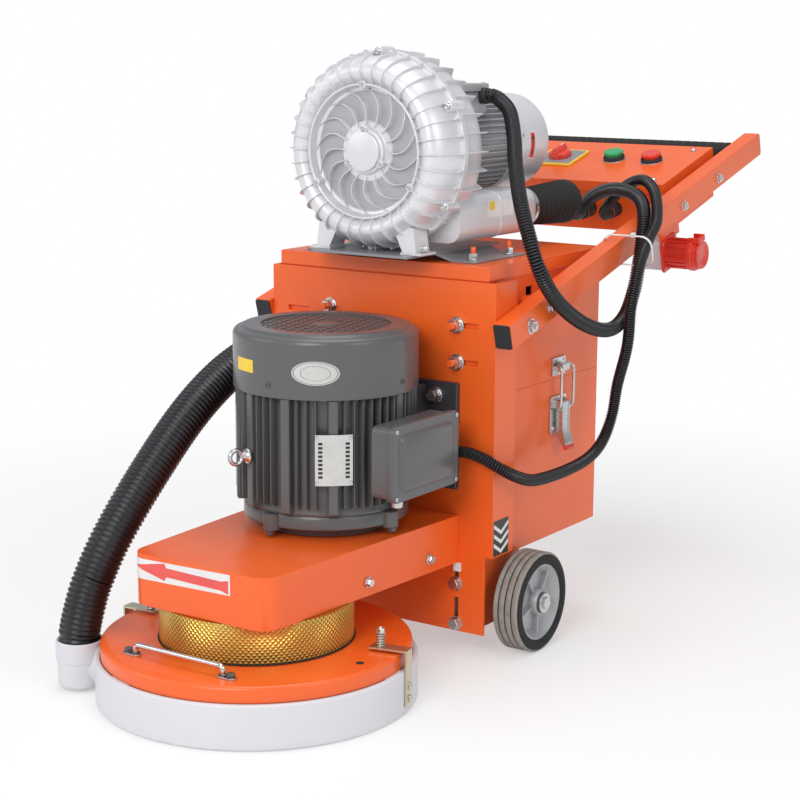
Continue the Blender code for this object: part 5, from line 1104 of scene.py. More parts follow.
def silencer(x, rear, spout):
    """A rounded can lying along Y. Towards the rear its section is a blend of a rounded
    rectangle and a circle, wide (1 - s) + r s circle, until only the circle is left."""
    wide = rounded(0.090, 0.072, 0.022, corner=9)
    circle = wide / np.linalg.norm(wide, axis=1, keepdims=True)
    rows = [(0.3400, wide), (0.4600, wide), (0.4608, wide * 1.025), (0.4640, wide * 1.025),
            (0.4648, wide), (rear - 0.046, wide)]
    for back, share, radius in ((0.036, 0.08, 0.0400), (0.024, 0.30, 0.0395),
                                (0.012, 0.66, 0.0380), (0.004, 0.92, 0.0360), (0, 1, 0.0330)):
        rows.append((rear - back, wide * (1 - share) + circle * radius * share))
    if spout:
        rows += [(rear + 0.0005, circle * 0.0300), (rear + 0.0042, circle * 0.0300)]
    return stations([np.insert(section + (x, 0.680), 1, y, axis=1) for y, section in rows])


class GRINDER_OT_blower(bpy.types.Operator):
    """The side-channel blower: ribbed casing halves, silencers, motor, cowl and bellows boot.

    The casings are profiles turned about the blower's axis. A rib follows the bulge's profile
    and stands off it along its normal, and is copied by equal turns. A spiral rib's place is
    (r sin a, r cos a) with a = a1 t^2 - a2 sin(pi t) at the share t of its reach. A silencer is
    a rounded rectangle carried along Y that closes to a circle. The boot's radius is
    R(s) - d (0.5 - 0.5 cos(2 pi n s)) ** 1.4.
    """

    bl_idname = "grinder.blower"
    bl_label = "Blower"
    bl_options = {"REGISTER", "UNDO"}

    def execute(self, context):
        sizes = context.scene.grinder_sizes
        self.front(sizes)
        self.rear()
        self.motor()
        self.cowl()
        self.boot_and_base()
        return {"FINISHED"}

    def front(self, sizes):
        """The ribbed front casing, its spiral ribs and hollow, its legs and its screws."""
        profile = mm(
            "0 264, 28 264, 29.8 264.8, 30.5 266.5, 30.6 271.2, 33.8 272.2, 34.6 273.8, "
            "35 277.5, 36 278.2, 45 278.6, 46.2 279.6, 47 281.2, 92 281.6, 96.5 279.6, 98.4 276, "
            "99 267.6, 99.6 265.8, 100.2 265.4, 102 265.4, 102.6 265.8, 103 267.6, 103.4 272.2",
            mm(BULGE), "146.8 316.7, 151.4 316.7, 152 317.3, 152 321.3, 141.5 321.3, 141.5 301, "
            "136 283, 127 270, 120 265, 111 269, 105 280, 101 286, 0 286",
        )
        rib = joined(rib_on(mm(BULGE, "146.1 316.5"), 0.0050, 0.0015, 0.0021),
                     slab("-1.2 1.2, 305 316.7, 144.5 153.4"))
        spots = flange_places(0.2985)
        ears = at_each(turned("0 0, 7 0, 7.8 1, 8.4 29, 0 29", steps=24), spots, (0, 1, 0))
        leg = joined(
            stations(mm(
                "71 274 630.4, 93 274 630.4, 93 312.5 630.4, 71 312.5 630.4, 68 274 635, "
                "93 274 635, 93 311.5 635, 68 311.5 635, 50 274.5 672, 88 274.5 672, "
                "88 310 672, 50 310 672",
            ).reshape(3, 4, 3)),
            slab("66 104, 272 314, 630.1 633.6"),
        )
        front = [turned(profile, BLOWER, "Y", 120),
                 spun(rib, "Y", equal(sizes.casing_ribs), BLOWER), ears, both(leg)]
        stand_in("blower_front", front, "silver_casting", "blower_front_casing", 32)

        t = np.linspace(0, 1, 18)
        r = 0.0390 + 0.0588 * t
        a = math.radians(25) * t**2 - math.radians(5) * np.sin(math.pi * t)
        height = 0.0050 + 0.0062 * np.sin(math.pi * np.clip(t * 1.05 + 0.08, 0, 1)) ** 0.7
        rings = [
            np.stack([-r * np.sin(a + offset / r), 0.2822 - height * share,
                      r * np.cos(a + offset / r)], -1)
            for offset, share in ((-0.0010, 0), (-0.0006, 1), (0.0006, 1), (0.0010, 0))
        ]
        spirals = spun(stations(np.stack(rings, 1)), "Y", equal(sizes.hub_ribs), BLOWER)
        lug_places = mm("0 267.2 34.5, 0 264 100.6")
        boss = at_each(turned("0 0, 6 0, 6.6 0.8, 7.2 13, 0 13", steps=24), lug_places, (0, 1, 0))
        piece("blower_spirals", [spirals, spun(boss, "Y", equal(3), BLOWER)], "silver_casting",
              "blower_front_casing", 32)
        # painted shade: a thin layer of darker casting laid over the floor of the front's recess,
        # between the spiral ribs
        hollow = turned("47.4 280.6, 91.5 281, 91.5 281.6, 47.4 281.2", BLOWER, "Y", 90)
        piece("blower_recess", hollow, "dull_casting", "blower_front_casing")
        screw = at_each(cap_screw(0.0036, 0.0034), lug_places, (0, -1, 0))
        ear_screw = joined(washer(0.0064, 0.0010), cap_screw(0.0046, 0.0044))
        screws = [spun(screw, "Y", equal(3), BLOWER), at_each(ear_screw, spots, (0, -1, 0))]
        piece("blower_screws", screws, "bright_zinc", "blower_front_casing", 30)

    def rear(self):
        """The rear casing with its plates, and the two silencers and the stub on it."""
        shell = turned(
            "141.5 321.9, 152 321.9, 152 326.2, 151 327, 146.8 327.2, 146 329, 146 359, "
            "144.5 372, 139 385, 132 394, 124 399, 114 402.5, 104 404, 10.8 404, 10.8 399.5, "
            "103 399.5, 121 394.5, 134 382, 141.5 357", BLOWER, "Y", 120,
        )
        plate = wedge("1.2 327.2 144 1 327.2 152.8, 1.2 360 144 0.9 360 151.8, "
                      "1.2 386 134 0.9 390 149, 1.2 392 128 0.9 397.5 133")
        # plates stand all round, apart from the bottom, where the silencers pass
        angles = equal(32)
        plates = spun(plate, "Y", angles[np.abs(angles - 180) > 44], BLOWER)
        pads = at_each(turned("0 0, 8.2 0, 8.6 1, 8 12, 7 13, 0 13", steps=24),
                       flange_places(0.3225), (0, 1, 0))
        stub = turned("0 616, 23.6 616, 23.6 620, 22 621.5, 22 650, 0 650",
                      (-0.063, 0.470, 0), steps=48)
        rear = [shell, plates, pads, silencer(0.085, 0.590, True),
                silencer(-0.085, 0.5150, False), stub]
        stand_in("blower_rear", rear, "silver_casting", "blower_rear_casing", 32)

    def motor(self):
        """The blower's finned motor and its terminal box."""
        barrel = turned("0 404.6, 77.2 404.6, 78 405.6, 78 417.6, 76.5 419.6, 67.2 420.6, "
                        "67.2 585.8, 76.5 586.8, 78 588.8, 78 598.8, 77.2 599.8, 0 599.8",
                        BLOWER, "Y", 96)
        fins = spun(slab("-0.9 0.9, 418.6 587.8, 65.5 76.2"), "Y", equal(44), BLOWER)
        stand_in("blower_motor_body", [barrel, fins], "dull_casting", "blower_motor", 30)
        box = joined(prism(rounded(0.104, 0.094, 0.008, (0, 0.4965)), 0.0500, 0.0850),
                     prism(rounded(0.110, 0.100, 0.009, (0, 0.4965)), 0.0860, 0.0985))
        piece("blower_terminal_box", box.at(BLOWER), "dull_casting", "blower_motor",
              bevel=0.0014)
        places = itertools.product((-0.046, 0.046), (0.4555, 0.5375), (0.8818,))
        piece("blower_box_pins", at_each(cap_screw(0.0030, 0.0020), places), "bright_zinc",
              "blower_motor", 30)
        gland = joined(nut(0.0250, 0.0050),
                       turned("0 4, 12.8 4, 13.2 6, 12.6 11, 11.6 12, 0 12", steps=32))
        piece("blower_gland", gland.at((0.0516, 0.525, 0.8623), (1, 0, 0)), "black_plastic",
              "blower_motor", 35)

    def cowl(self):
        """The cowl of the blower's motor, whose grille is rings on six arms."""
        shell = mm("75.5 600.3, 78.2 600.3, 78.7 601.3, 78.7 692",
                   arc((0.0667, 0.693), 0.0120, 0, 90, 8)[1:],
                   "60 705, 59 704, 59 702, 67 702, 75.5 692")
        rings = [turned([(r, 0.7020), (r + 0.0045, 0.7020), (r + 0.0045, 0.7045), (r, 0.7045)],
                        BLOWER, "Y", 60) for r in (0.014, 0.023, 0.032, 0.041, 0.050)]
        hub = rod(0.0095, 0.7020, 0.7045, BLOWER, "Y", 32)
        arms = spun(slab("-2.2 2.2, 701.6 703.8, 4 60.5"), "Y", equal(6), BLOWER)
        cowl = [turned(shell, BLOWER, "Y", 96), *rings, hub, arms]
        stand_in("blower_cowl_shell", cowl, "silver_casting", "blower_cowl", 32)
        # painted shade: a black disc inside the cowl, behind the grille, stands in for the shade
        # seen through it
        dark = rod(0.0740, 0.6830, 0.6850, BLOWER, "Y", 48)
        piece("blower_cowl_dark", dark, "black_plastic", "blower_cowl")
        pins = [cap_screw(0.0032, 0.0020).at(on_blower(angle, 0.0785, 0.612),
                                             on_blower(angle, 1, 0) - BLOWER)
                for angle in equal(4, 10)]
        piece("blower_cowl_screws", pins, "bright_zinc", "blower_cowl", 30)

    def boot_and_base(self):
        """The bellows boot on the exhaust, and the nuts that hold the blower's base."""
        reach, folds, start, centre = 0.1450, 8, 0.5943, (0.085, 0, 0.680)
        s = np.linspace(0, 1, folds * 12 + 1)
        plain_end = 0.10
        fold = np.clip((s - plain_end) / (1 - 2 * plain_end), 0, 1)
        radius = 0.0305 + 0.0068 * s - 0.0042 * (0.5 - 0.5 * np.cos(TAU * folds * fold)) ** 1.4
        boot = mm(np.stack([radius, start + reach * s], -1), "36.3 739.7, 29.2 738.3, 22.5 594.5")
        stand_in("bellows_boot", turned(boot, centre, "Y", 64), "black_rubber", "exhaust_boot", 60)
        clip = turned("30.6 596.5, 32.2 596.7, 32.2 604, 30.6 604.2", centre, "Y", 64)
        piece("boot_clip", clip, "bright_zinc", "exhaust_boot")

        places = list(itertools.product((-0.1420, 0.1420), (0.360, 0.466), (0.6192,)))
        nuts = [at_each(bolt(0.0105, 0.0016, 0.0130, 0.0085), places),
                both(bolt(0.0070, 0.0014, 0.0105, 0.0062).at((0.0950, 0.2930, 0.6352)))]
        piece("blower_base_nuts", nuts, "bright_zinc", "blower_base", 30)
        tips = at_each(turned("0 9, 4 9, 4.2 19, 3.4 20.2, 0 20.2", steps=20), places)
        piece("blower_base_studs", tips, "orange_enamel", "blower_base")


# ------------------------------------------------------------------ wheels
class GRINDER_OT_wheels(bpy.types.Operator):
    """The two wheels: black tyre, worn tread bands between its grooves, and cast centre.

    All are profiles turned about the axle, y = r cos u, z = r sin u, x = h.
    """

    bl_idname = "grinder.wheels"
    bl_label = "Wheels"
    bl_options = {"REGISTER", "UNDO"}

    def execute(self, context):
        sizes = context.scene.grinder_sizes
        tyre = turned("60.6 -20.5, 62.2 -22.8, 66 -24, 71 -23.8, 75.2 -22.2, 77.2 -20.5, "
                      "77.6 20.5, 75.2 22.2, 71 23.8, 66 24, 62.2 22.8, 60.6 20.5",
                      axis="X", steps=120)
        core = turned("10.6 -22.5, 20 -22.5, 20.8 -21.5, 21 -8, 47 -6, 54.5 -16.5, 57.5 -20.5, "
                      "60.4 -20, 60.4 20, 57.5 20.5, 54.5 16.5, 47 6, 21 8, 20.8 21.5, 20 22.5, "
                      "10.6 22.5", axis="X")
        spokes = spun(slab("-15 15, -2.1 2.1, 20 54"), "X", equal(5, 36))
        bearing = turned("10.2 22.8, 17 22.8, 17.4 23.2, 17.4 24, 16.6 24.3, 10.2 24.3",
                         axis="X", steps=60)
        cap = joined(turned("0 0, 15.8 0, 16.2 0.6, 16 2.2, 14.8 3, 0 3.2", steps=48),
                     cap_screw(0.0052, 0.0024).at((0, 0, 0.0030)))
        axle_y, axle_z, groove, count = 0.405, 0.080, 0.0022, sizes.tread_grooves + 1
        width = (0.0430 - groove * (count - 1)) / count
        bands = []
        for k in range(count):
            low = -0.0215 + k * (width + groove)
            high = low + width
            # the outermost bands fall away more at the tyre's shoulders
            first, last = (0.0792 - 0.0016 * (k == end) for end in (0, count - 1))
            bands.append(turned(
                [(0.0765, low), (first, low + 0.0003), (0.0800, low + 0.0025),
                 (0.0800, high - 0.0025), (last, high - 0.0003), (0.0765, high)],
                axis="X", steps=120,
            ))
        for name, sign in SIDES.items():
            centre = (sign * 0.2284, axle_y, axle_z)
            tyre_node, core_node = f"tyre_{name}", f"wheel_core_{name}"
            stand_in(f"tyre_wall_{name}", tyre.at(centre), "black_rubber", tyre_node)
            piece(f"tread_{name}", joined(bands).at(centre), "tread_rubber", tyre_node)
            stand_in(f"wheel_centre_{name}", joined(core, spokes).at(centre), "dull_casting",
                     core_node)
            piece(f"wheel_bearing_{name}", bearing.flipped(sign).at(centre), "dark_steel",
                  core_node)
            end = (sign * 0.2535, axle_y, axle_z)
            piece(f"axle_nut_{name}", cap.at(end, (sign, 0, 0)), "bright_zinc", "axle", 30)
        return {"FINISHED"}


# ------------------------------------------------------------------ frame, box and latches
class GRINDER_OT_frame(bpy.types.Operator):
    """Fasteners of the upright plate, the hazard strip, and the latches on the bin.

    Each fastener is one stud, nut and washer copied to its places. The latch lever is an
    outline (x, z) carried along Y with a cheek at each side; the bail is a round wire whose
    path is even about the latch's middle.
    """

    bl_idname = "grinder.frame"
    bl_label = "Frame fasteners and latches"
    bl_options = {"REGISTER", "UNDO"}

    def execute(self, context):
        forward = (0, -1, 0)
        high = mm("142.5 314.8 523.9, 143.3 314.8 466.7, -96.9 314.8 534.1, -96.9 314.8 466.7")
        low = mm("145.8 314.8 115.5, 146.7 314.8 50.7, -145.8 314.8 115.5, -146.7 314.8 50.7")
        plain = bolt(0.0118, 0.0014, 0.0165, 0.0085)
        tall = joined(washer(0.0128, 0.0018), washer(0.0098, 0.0030, 0.0016),
                      nut(0.0178, 0.0100, 0.0040))
        piece("plate_nuts", [at_each(tall, high, forward), at_each(plain, low, forward)],
              "bright_zinc", "frame", 30)
        stud = turned("0 10, 5.4 10, 5.6 20, 4.6 21.6, 0 21.6", steps=24)
        piece("plate_studs", at_each(stud, high, forward), "orange_enamel", "frame")
        piece("plate_spacer", slab("143 156, 310.8 315, 136 150"), "white_vinyl", "frame",
              bevel=0.0008)
        # painted shade: a dark sheet behind the plate's slots, so that they read dark where shade
        # falls behind the plate
        piece("slot_backing", both(slab("138 156, 320.1 321.6, 40 148")), "dark_steel", "frame")

        piece("hazard_strip", slab("211.6 211.9, 318 362, 167.5 223.5"), "black_vinyl", "frame")
        chevron = prism("319 182.5, 340 169.5, 361 182.5, 361 188.5, 340 175.5, 319 188.5",
                        0.2119, 0.2122, "X")
        piece("hazard_chevrons", at_each(chevron, mm("0 0 0, 0 0 15, 0 0 30")), "white_vinyl",
              "frame")
        for name, sign in SIDES.items():
            self.latch(name, sign)
        return {"FINISHED"}

    def latch(self, name, sign):
        """One side's latch: its base, hook, lever with a grip, and wire bail."""
        out = (1, 0, 0)
        ear = "194.5 366, 206 367.6, 209 368.2, 209.8 372, 209 375.8, 206 376.6, 194.5 384"
        rivet = turned("0 0, 4 0, 3.6 1.2, 2 2, 0 2.2", steps=20)
        end = turned("0 0, 3.6 0, 3.6 1.2, 2.8 2, 0 2", steps=20)
        mount = joined(
            prism(rounded(0.0512, 0.0612, 0.006, (0.540, 0.355)), 0.1931, 0.1966, "X"),
            across_y(ear, 0.5232, 0.5280), across_y(ear, 0.5520, 0.5568),
            tube(mm("205 522.2 372, 205 557.8 372"), 0.0020, 20),
            end.at((0.2050, 0.5580, 0.3720), (0, 1, 0)),
            end.at((0.2050, 0.5220, 0.3720), (0, -1, 0)),
            at_each(rivet, mm("196.5 523 333, 196.5 557 333"), out),
        )
        piece(f"latch_base_{name}", mount.flipped(sign), "bright_zinc", "dust_bin", 35, 0.0004)
        hook = joined(
            slab("193.1 196.5, 519.4 560.6, 419.4 448.6"),
            across_y("194.5 427, 207 426.6, 209.2 427.6, 210 430, 210 440, 209 442.4, 207.2 442, "
                     "207 434.6, 194.5 435.2", 0.5274, 0.5526),
            at_each(turned("0 0, 3.4 0, 3 1, 0 1.8", steps=16),
                    mm("196.4 524 443, 196.4 556 443"), out),
        )
        piece(f"latch_hook_{name}", hook.flipped(sign), "bright_zinc", "dust_box", 35, 0.0004)
        side = "209 376.5, 211.2 374.5, 211.2 333, 218 311.5, 216 311, 208.5 333"
        lever = joined(
            across_y("200.2 376.2, 200.2 327, 201.8 320, 213.6 301.5, 215 300.2, 217.6 300, "
                     "219 301.2, 219.2 303, 216.5 312, 209.6 334, 209.6 376.2, 208.5 377.5, "
                     "201.5 377.5", 0.5282, 0.5518),
            across_y(side, 0.5282, 0.5302), across_y(side, 0.5498, 0.5518),
        )
        stand_in(f"latch_lever_{name}_shell", lever.flipped(sign), "bright_zinc",
                 f"latch_lever_{name}", 35, 0.0005)
        grip = across_y("212.8 305.2, 214.6 299.2, 218.8 298.6, 220.6 300.4, 219.8 305, "
                        "218.6 307.2", 0.5270, 0.5530)
        piece(f"latch_grip_{name}", grip.flipped(sign), "red_plastic", f"latch_lever_{name}",
              bevel=0.0012)
        wire = mm("205 540 364, 205 556 364, 206.2 559.2 365.4, 210 560 370, 212.2 560 375, "
                  "212.5 560 382, 212.5 560 428, 211.6 559.8 433, 208 559.2 435.8, "
                  "204 557.5 436.4, 203 554 436.5, 203 540 436.5")
        back = wire[-2:0:-1] * (1, -1, 1) + (0, 1.080, 0)
        bail = tube(mm(wire, back), 0.0023, 14, closed=True)
        stand_in(f"latch_bail_{name}_wire", bail.flipped(sign), "bright_zinc",
                 f"latch_bail_{name}", 60)


# ------------------------------------------------------------------ handle and controls
class GRINDER_OT_handle(bpy.types.Operator):
    """The raked bars' end caps, bolts and ties, and the ribbed grip over the cross tube.

    A bar's section is a rounded rectangle, and a cap is that outline carried a little past its
    end. The grip's radius is R, or R - d where sin(2 pi n s) > 0.2 at the share s of its length.
    """

    bl_idname = "grinder.handle"
    bl_label = "Handle"
    bl_options = {"REGISTER", "UNDO"}

    def execute(self, context):
        out, along, across = np.eye(3), TILT[:3, 1], TILT[:3, 2]
        bolts = []
        for y, z, size in mm("368.2 524.5 17, 427.1 549.2 15, 885.6 670.4 13, 1024.9 709.9 13"):
            tip = turned([(0, 0), (size * 0.26, 0), (size * 0.24, size * 0.62),
                          (0, size * 0.66)], steps=20)
            head = joined(washer(size * 0.72, 0.0014), nut(size, size * 0.45), tip)
            bolts.append(both(head.at((0.2421, y, z), out[0])))
        piece("bar_bolts", bolts, "bright_zinc", "handle_frame", 30)
        cap = prism(rounded(0.0285, 0.0385, 0.004), 0, 0.0026)
        caps = [cap.at((side * 0.2272, y, z), along * way) for side in SIDES.values()
                for y, z, way in ((0.311, 0.514, -1), (1.202, 0.7625, 1))]
        piece("bar_caps", caps, "black_plastic", "handle_frame", bevel=0.0006)

        middle = np.array((0.2545, 0.6560, 0.6150))
        outer, inner = rounded(0.0890, 0.0520, 0.0180), rounded(0.0866, 0.0496, 0.0168)
        band = [shape @ (out[0], across) + way * 0.0024 * along
                for shape, way in ((outer, -1), (outer, 1), (inner, 1), (inner, -1))]
        tie = lattice(np.stack(band, 1), wrap_u=True, wrap_v=True).at(middle)
        lock = slab("-3.5 3.5, -4 4, -3 3").moved(TILT)
        lock = lock.at(middle + 0.0270 * across + (0.012, 0, 0))
        piece("cable_tie", [tie, lock], "white_vinyl", "handle_frame", bevel=0.0004)

        half, ribs = 0.2050, 24
        s = np.linspace(0, 1, ribs * 4 + 1)
        low = half * (2 * s - 1)
        radius = 0.0180 - 0.0010 * (np.sin(TAU * ribs * s) > 0.2)
        steps = np.stack([np.repeat(radius[:-1], 2),
                          np.stack([low[:-1] + 0.0004, low[1:] - 0.0004], -1).ravel()], -1)
        z = 0.514 + (1.150 - 0.311) * math.tan(BAR_SLOPE)
        grip = turned(mm([(0.0102, -half)], steps, [(0.0102, half)]), (0, 1.150, z), "X", 48)
        stand_in("grip_ribbed", grip, "black_rubber", "grip_sleeve", 40)
        return {"FINISHED"}


def tilted(name, form, look, node, sharp=38, bevel=0.0, maker=piece):
    """A piece that is drawn in the control box's own plan and carried to it by one matrix."""
    maker(name, joined(form).moved(CONTROL), look, node, sharp, bevel)


class GRINDER_OT_controls(bpy.types.Operator):
    """Switch, buttons, lid screws, clasp, glands and the mains inlet with its sprung cap.

    Round pieces are profiles (r, h) turned about their axis: (r cos u, r sin u, h). The
    socket's ribs are boxes copied by equal turns.
    """

    bl_idname = "grinder.controls"
    bl_label = "Controls and mains inlet"
    bl_options = {"REGISTER", "UNDO"}

    def execute(self, context):
        self.lid()
        self.inlet()
        return {"FINISHED"}

    def lid(self):
        """The switch, the two buttons, the lid's screws, clasp and hinge, and the glands."""
        switch = (-0.063, 0.006, 0)
        edge = prism(rounded(0.0816, 0.0816, 0.005), 0.0002, 0.0042)
        plate = prism(rounded(0.0730, 0.0730, 0.004), 0.0036, 0.0046)
        tilted("switch_edge", edge.at(switch), "yellow_plastic", "control_lid", bevel=0.0006)
        tilted("switch_plate", plate.at(switch), "bracket_grey", "control_lid", bevel=0.0006)
        half = (-0.029, 0.029)
        small = at_each(cap_screw(0.0026, 0.0014), itertools.product(half, half, (0.0045,)))
        large = joined(washer(0.0058, 0.0008),
                       turned("0 0.8, 4.8 0.8, 4.4 2.4, 2.6 3.6, 0 4", steps=24))
        corners = itertools.product((-0.172, 0.172), (-0.082, 0.082), (0.0001,))
        screws = [small.at(switch), at_each(large, corners)]
        tilted("lid_screws", screws, "bright_zinc", "control_lid", 30)
        dial = turned("0 4.5, 20.6 4.5, 21 5, 20.8 11, 19.5 14, 17 15, 0 15.2", steps=72,
                      ripple=fluted(24, 0.0004, 0.0200))
        grip = stations(mm(
            "-7 -19 14.5, 7 -19 14.5, 5.6 20 14.5, -5.6 20 14.5, "
            "-6 -18 20.5, 6 -18 20.5, 4.6 19.2 20.5, -4.6 19.2 20.5, "
            "-4.6 -16 24.2, 4.6 -16 24.2, 3.4 17.6 24.2, -3.4 17.6 24.2",
        ).reshape(3, 4, 3))
        tilted("switch_dial", joined(dial, grip).at(switch), "red_plastic", "switch_knob",
               bevel=0.0005, maker=stand_in)
        tilted("switch_mark", slab("-1 1, 6 17.2, 24 24.6").at(switch), "white_vinyl",
               "switch_knob")
        bezel = turned("15.4 0.6, 19.2 0.2, 19.6 1.2, 19.4 6.2, 18.6 7.8, 16.8 8, 15.6 7.4",
                       steps=72)
        seat = turned("19 0.2, 21.2 0.2, 21.2 1, 20.6 1.6, 19 1.6", steps=60)
        cap = turned("0 4, 14.8 4, 15 4.4, 15 11.2, 17.6 11.4, 18 12, 18 15.2, 17.2 16.6, "
                     "15 17.2, 9 16.8, 0 16.6", steps=64)
        for name, x, look in (("start", 0.045, "green_plastic"), ("stop", 0.121, "red_plastic")):
            spot = (x, 0.014, 0)
            tilted(f"{name}_bezel", bezel.at(spot), "black_plastic", "control_lid")
            tilted(f"{name}_seat", seat.at(spot), "bright_zinc", "control_lid")
            tilted(f"{name}_cap", cap.at(spot), look, f"{name}_button", maker=stand_in)
        clasp = [slab("100 126, -105.2 -103.6, -24 -4"), slab("104 122, -107.2 -105, -20 -8")]
        tilted("lid_clasp", clasp, "bright_zinc", "control_lid", bevel=0.0005)
        hinge = [rod(0.0040, x, x + 0.0396, (0, 0.1085, -0.018), "X")
                 for x in (-0.0600, -0.0200, 0.0202)]
        tilted("lid_knuckles", hinge, "orange_enamel", "control_lid")

        for x, radius in zip(GLANDS.values(), (0.0115, 0.0075)):
            wall = radius + 0.0045
            gland = joined(
                washer(wall + 0.0030, 0.0016), nut((wall + 0.0012) * 1.80, 0.0090, 0.0016),
                turned(mm("0 10", [(wall + 0.0012, 0.010), (wall + 0.0014, 0.0118),
                                   (wall + 0.0006, 0.0220), (wall - 0.0008, 0.0244),
                                   (radius, 0.0246)], "0 24.6"),
                       steps=48, ripple=fluted(18, 0.0005, radius + 0.004)))
            tilted(f"control_gland_{round(x * 1000)}",
                   gland.at((x, -0.0998, -0.050), (0, -1, 0)), "black_plastic", "control_box", 35)

    def inlet(self):
        """The mains inlet on the box's right side, with its contacts and sprung lid."""
        y, z = -0.107, -0.124
        middle = (0, y, z)
        back = prism(rounded(0.0525, 0.0525, 0.006, (y, z)), 0.1556, 0.2002, "X")
        tilted("inlet_back_box", back, "pale_plastic", "inlet_body", bevel=0.0016)
        strap = slab("197.6 201.2, -130 -58, -104 -50")
        tilted("inlet_strap", strap, "orange_enamel", "inlet_body", bevel=0.0006)
        socket = turned("0 205.5, 24.6 205.5, 25 207.5, 25 244, 26.2 244.8, 28.8 246.2, 29 248, "
                        "29 254, 28.4 255.6, 26.2 256.2, 26 261.2, 25 262, 22.2 262, 22 225, "
                        "0 225", middle, "X", 72)
        body = [
            prism(rounded(0.0580, 0.0580, 0.005, (y, z)), 0.2000, 0.2044, "X"),
            prism(rounded(0.0500, 0.0500, 0.006, (y, z)), 0.2040, 0.2062, "X"), socket,
            spun(slab("206.2 245.2, -1.3 1.3, 23.5 27.2"), "X", equal(16), middle),
            slab("248 268.2, -12.6 -8.6, 24 34.5").at(middle),
            slab("248 268.2, 8.6 12.6, 24 34.5").at(middle),
        ]
        tilted("inlet_socket", body, "red_plastic", "inlet_body", 32, 0.0006, stand_in)
        half = (-0.0235, 0.0235)
        screws = at_each(cap_screw(0.0030, 0.0018), itertools.product((0.2043,), half, half),
                         (1, 0, 0))
        tilted("inlet_screws", screws.at(middle), "bright_zinc", "inlet_body", 30)
        contact = turned("0 224.5, 2.9 224.5, 2.9 248, 2 250, 0 250.2", axis="X", steps=20)
        contacts = spun(contact.at((0, 0.0120, 0)), "X", equal(4, 45), middle)
        tilted("inlet_contacts", contacts, "polished_steel", "inlet_body")
        flap = [
            turned("0 262.3, 24.2 262.3, 24.8 262.9, 24.8 266.5, 23.6 267.9, 18 268.3, "
                   "16.8 267.5, 0 267.3", middle, "X", 72),
            slab("262.7 267.9, -7.2 7.2, 16 31").at(middle),
            rod(0.0030, -0.008, 0.008, (0.2653, y, z + 0.0310), "Y"),
        ]
        tilted("inlet_lid", flap, "red_plastic", "inlet_flap", bevel=0.0005, maker=stand_in)


# ------------------------------------------------------------------ labels
def spread(middle, half, steps):
    """Even angles from one side of a middle one to the other."""
    return np.linspace(middle - half, middle + half, steps)


def sheet(centre, radius, thick, degrees, half, axis="Z"):
    """A thin plate bent round an axis: (r cos a, r sin a, h) between two radii, with h from
    -half to half, where half may go with the angle."""
    a = np.radians(degrees)
    rows = [on_axis(r * np.cos(a), r * np.sin(a), side * half, axis)
            for r, side in ((radius + thick, -1), (radius + thick, 1), (radius, 1), (radius, -1))]
    return stations(np.stack(rows, 1)).at(centre)


def on_cowl(radius, thick, degrees, half):
    """A thin plate bent round the blower's cowl, by angles up from the +X side."""
    return sheet(BLOWER + (0, 0.6440, 0), radius, thick, 90 - degrees, half, "Y")


# the oval plate's middle, as an angle and a height, and how far its edge is from them
OVAL_ANGLE, OVAL_HALF = -59.8, 14.6
OVAL_Z, OVAL_RISE = 0.4797, 0.0175


def oval_ring(share):
    """A flat ring on the motor's cowl, an ellipse in (angle, z) at a share of the oval plate."""
    u = np.arange(96) * TAU / 96
    band = []
    for r, scale in ((0.14075, 1), (0.14095, 1), (0.14095, 0.965), (0.14075, 0.965)):
        a = np.radians(OVAL_ANGLE + OVAL_HALF * share * scale * np.cos(u))
        z = OVAL_Z + OVAL_RISE * share * scale * np.sin(u)
        band.append(np.stack([r * np.cos(a), r * np.sin(a), z], -1))
    return lattice(np.stack(band, 1), wrap_u=True, wrap_v=True).at(MOTOR)


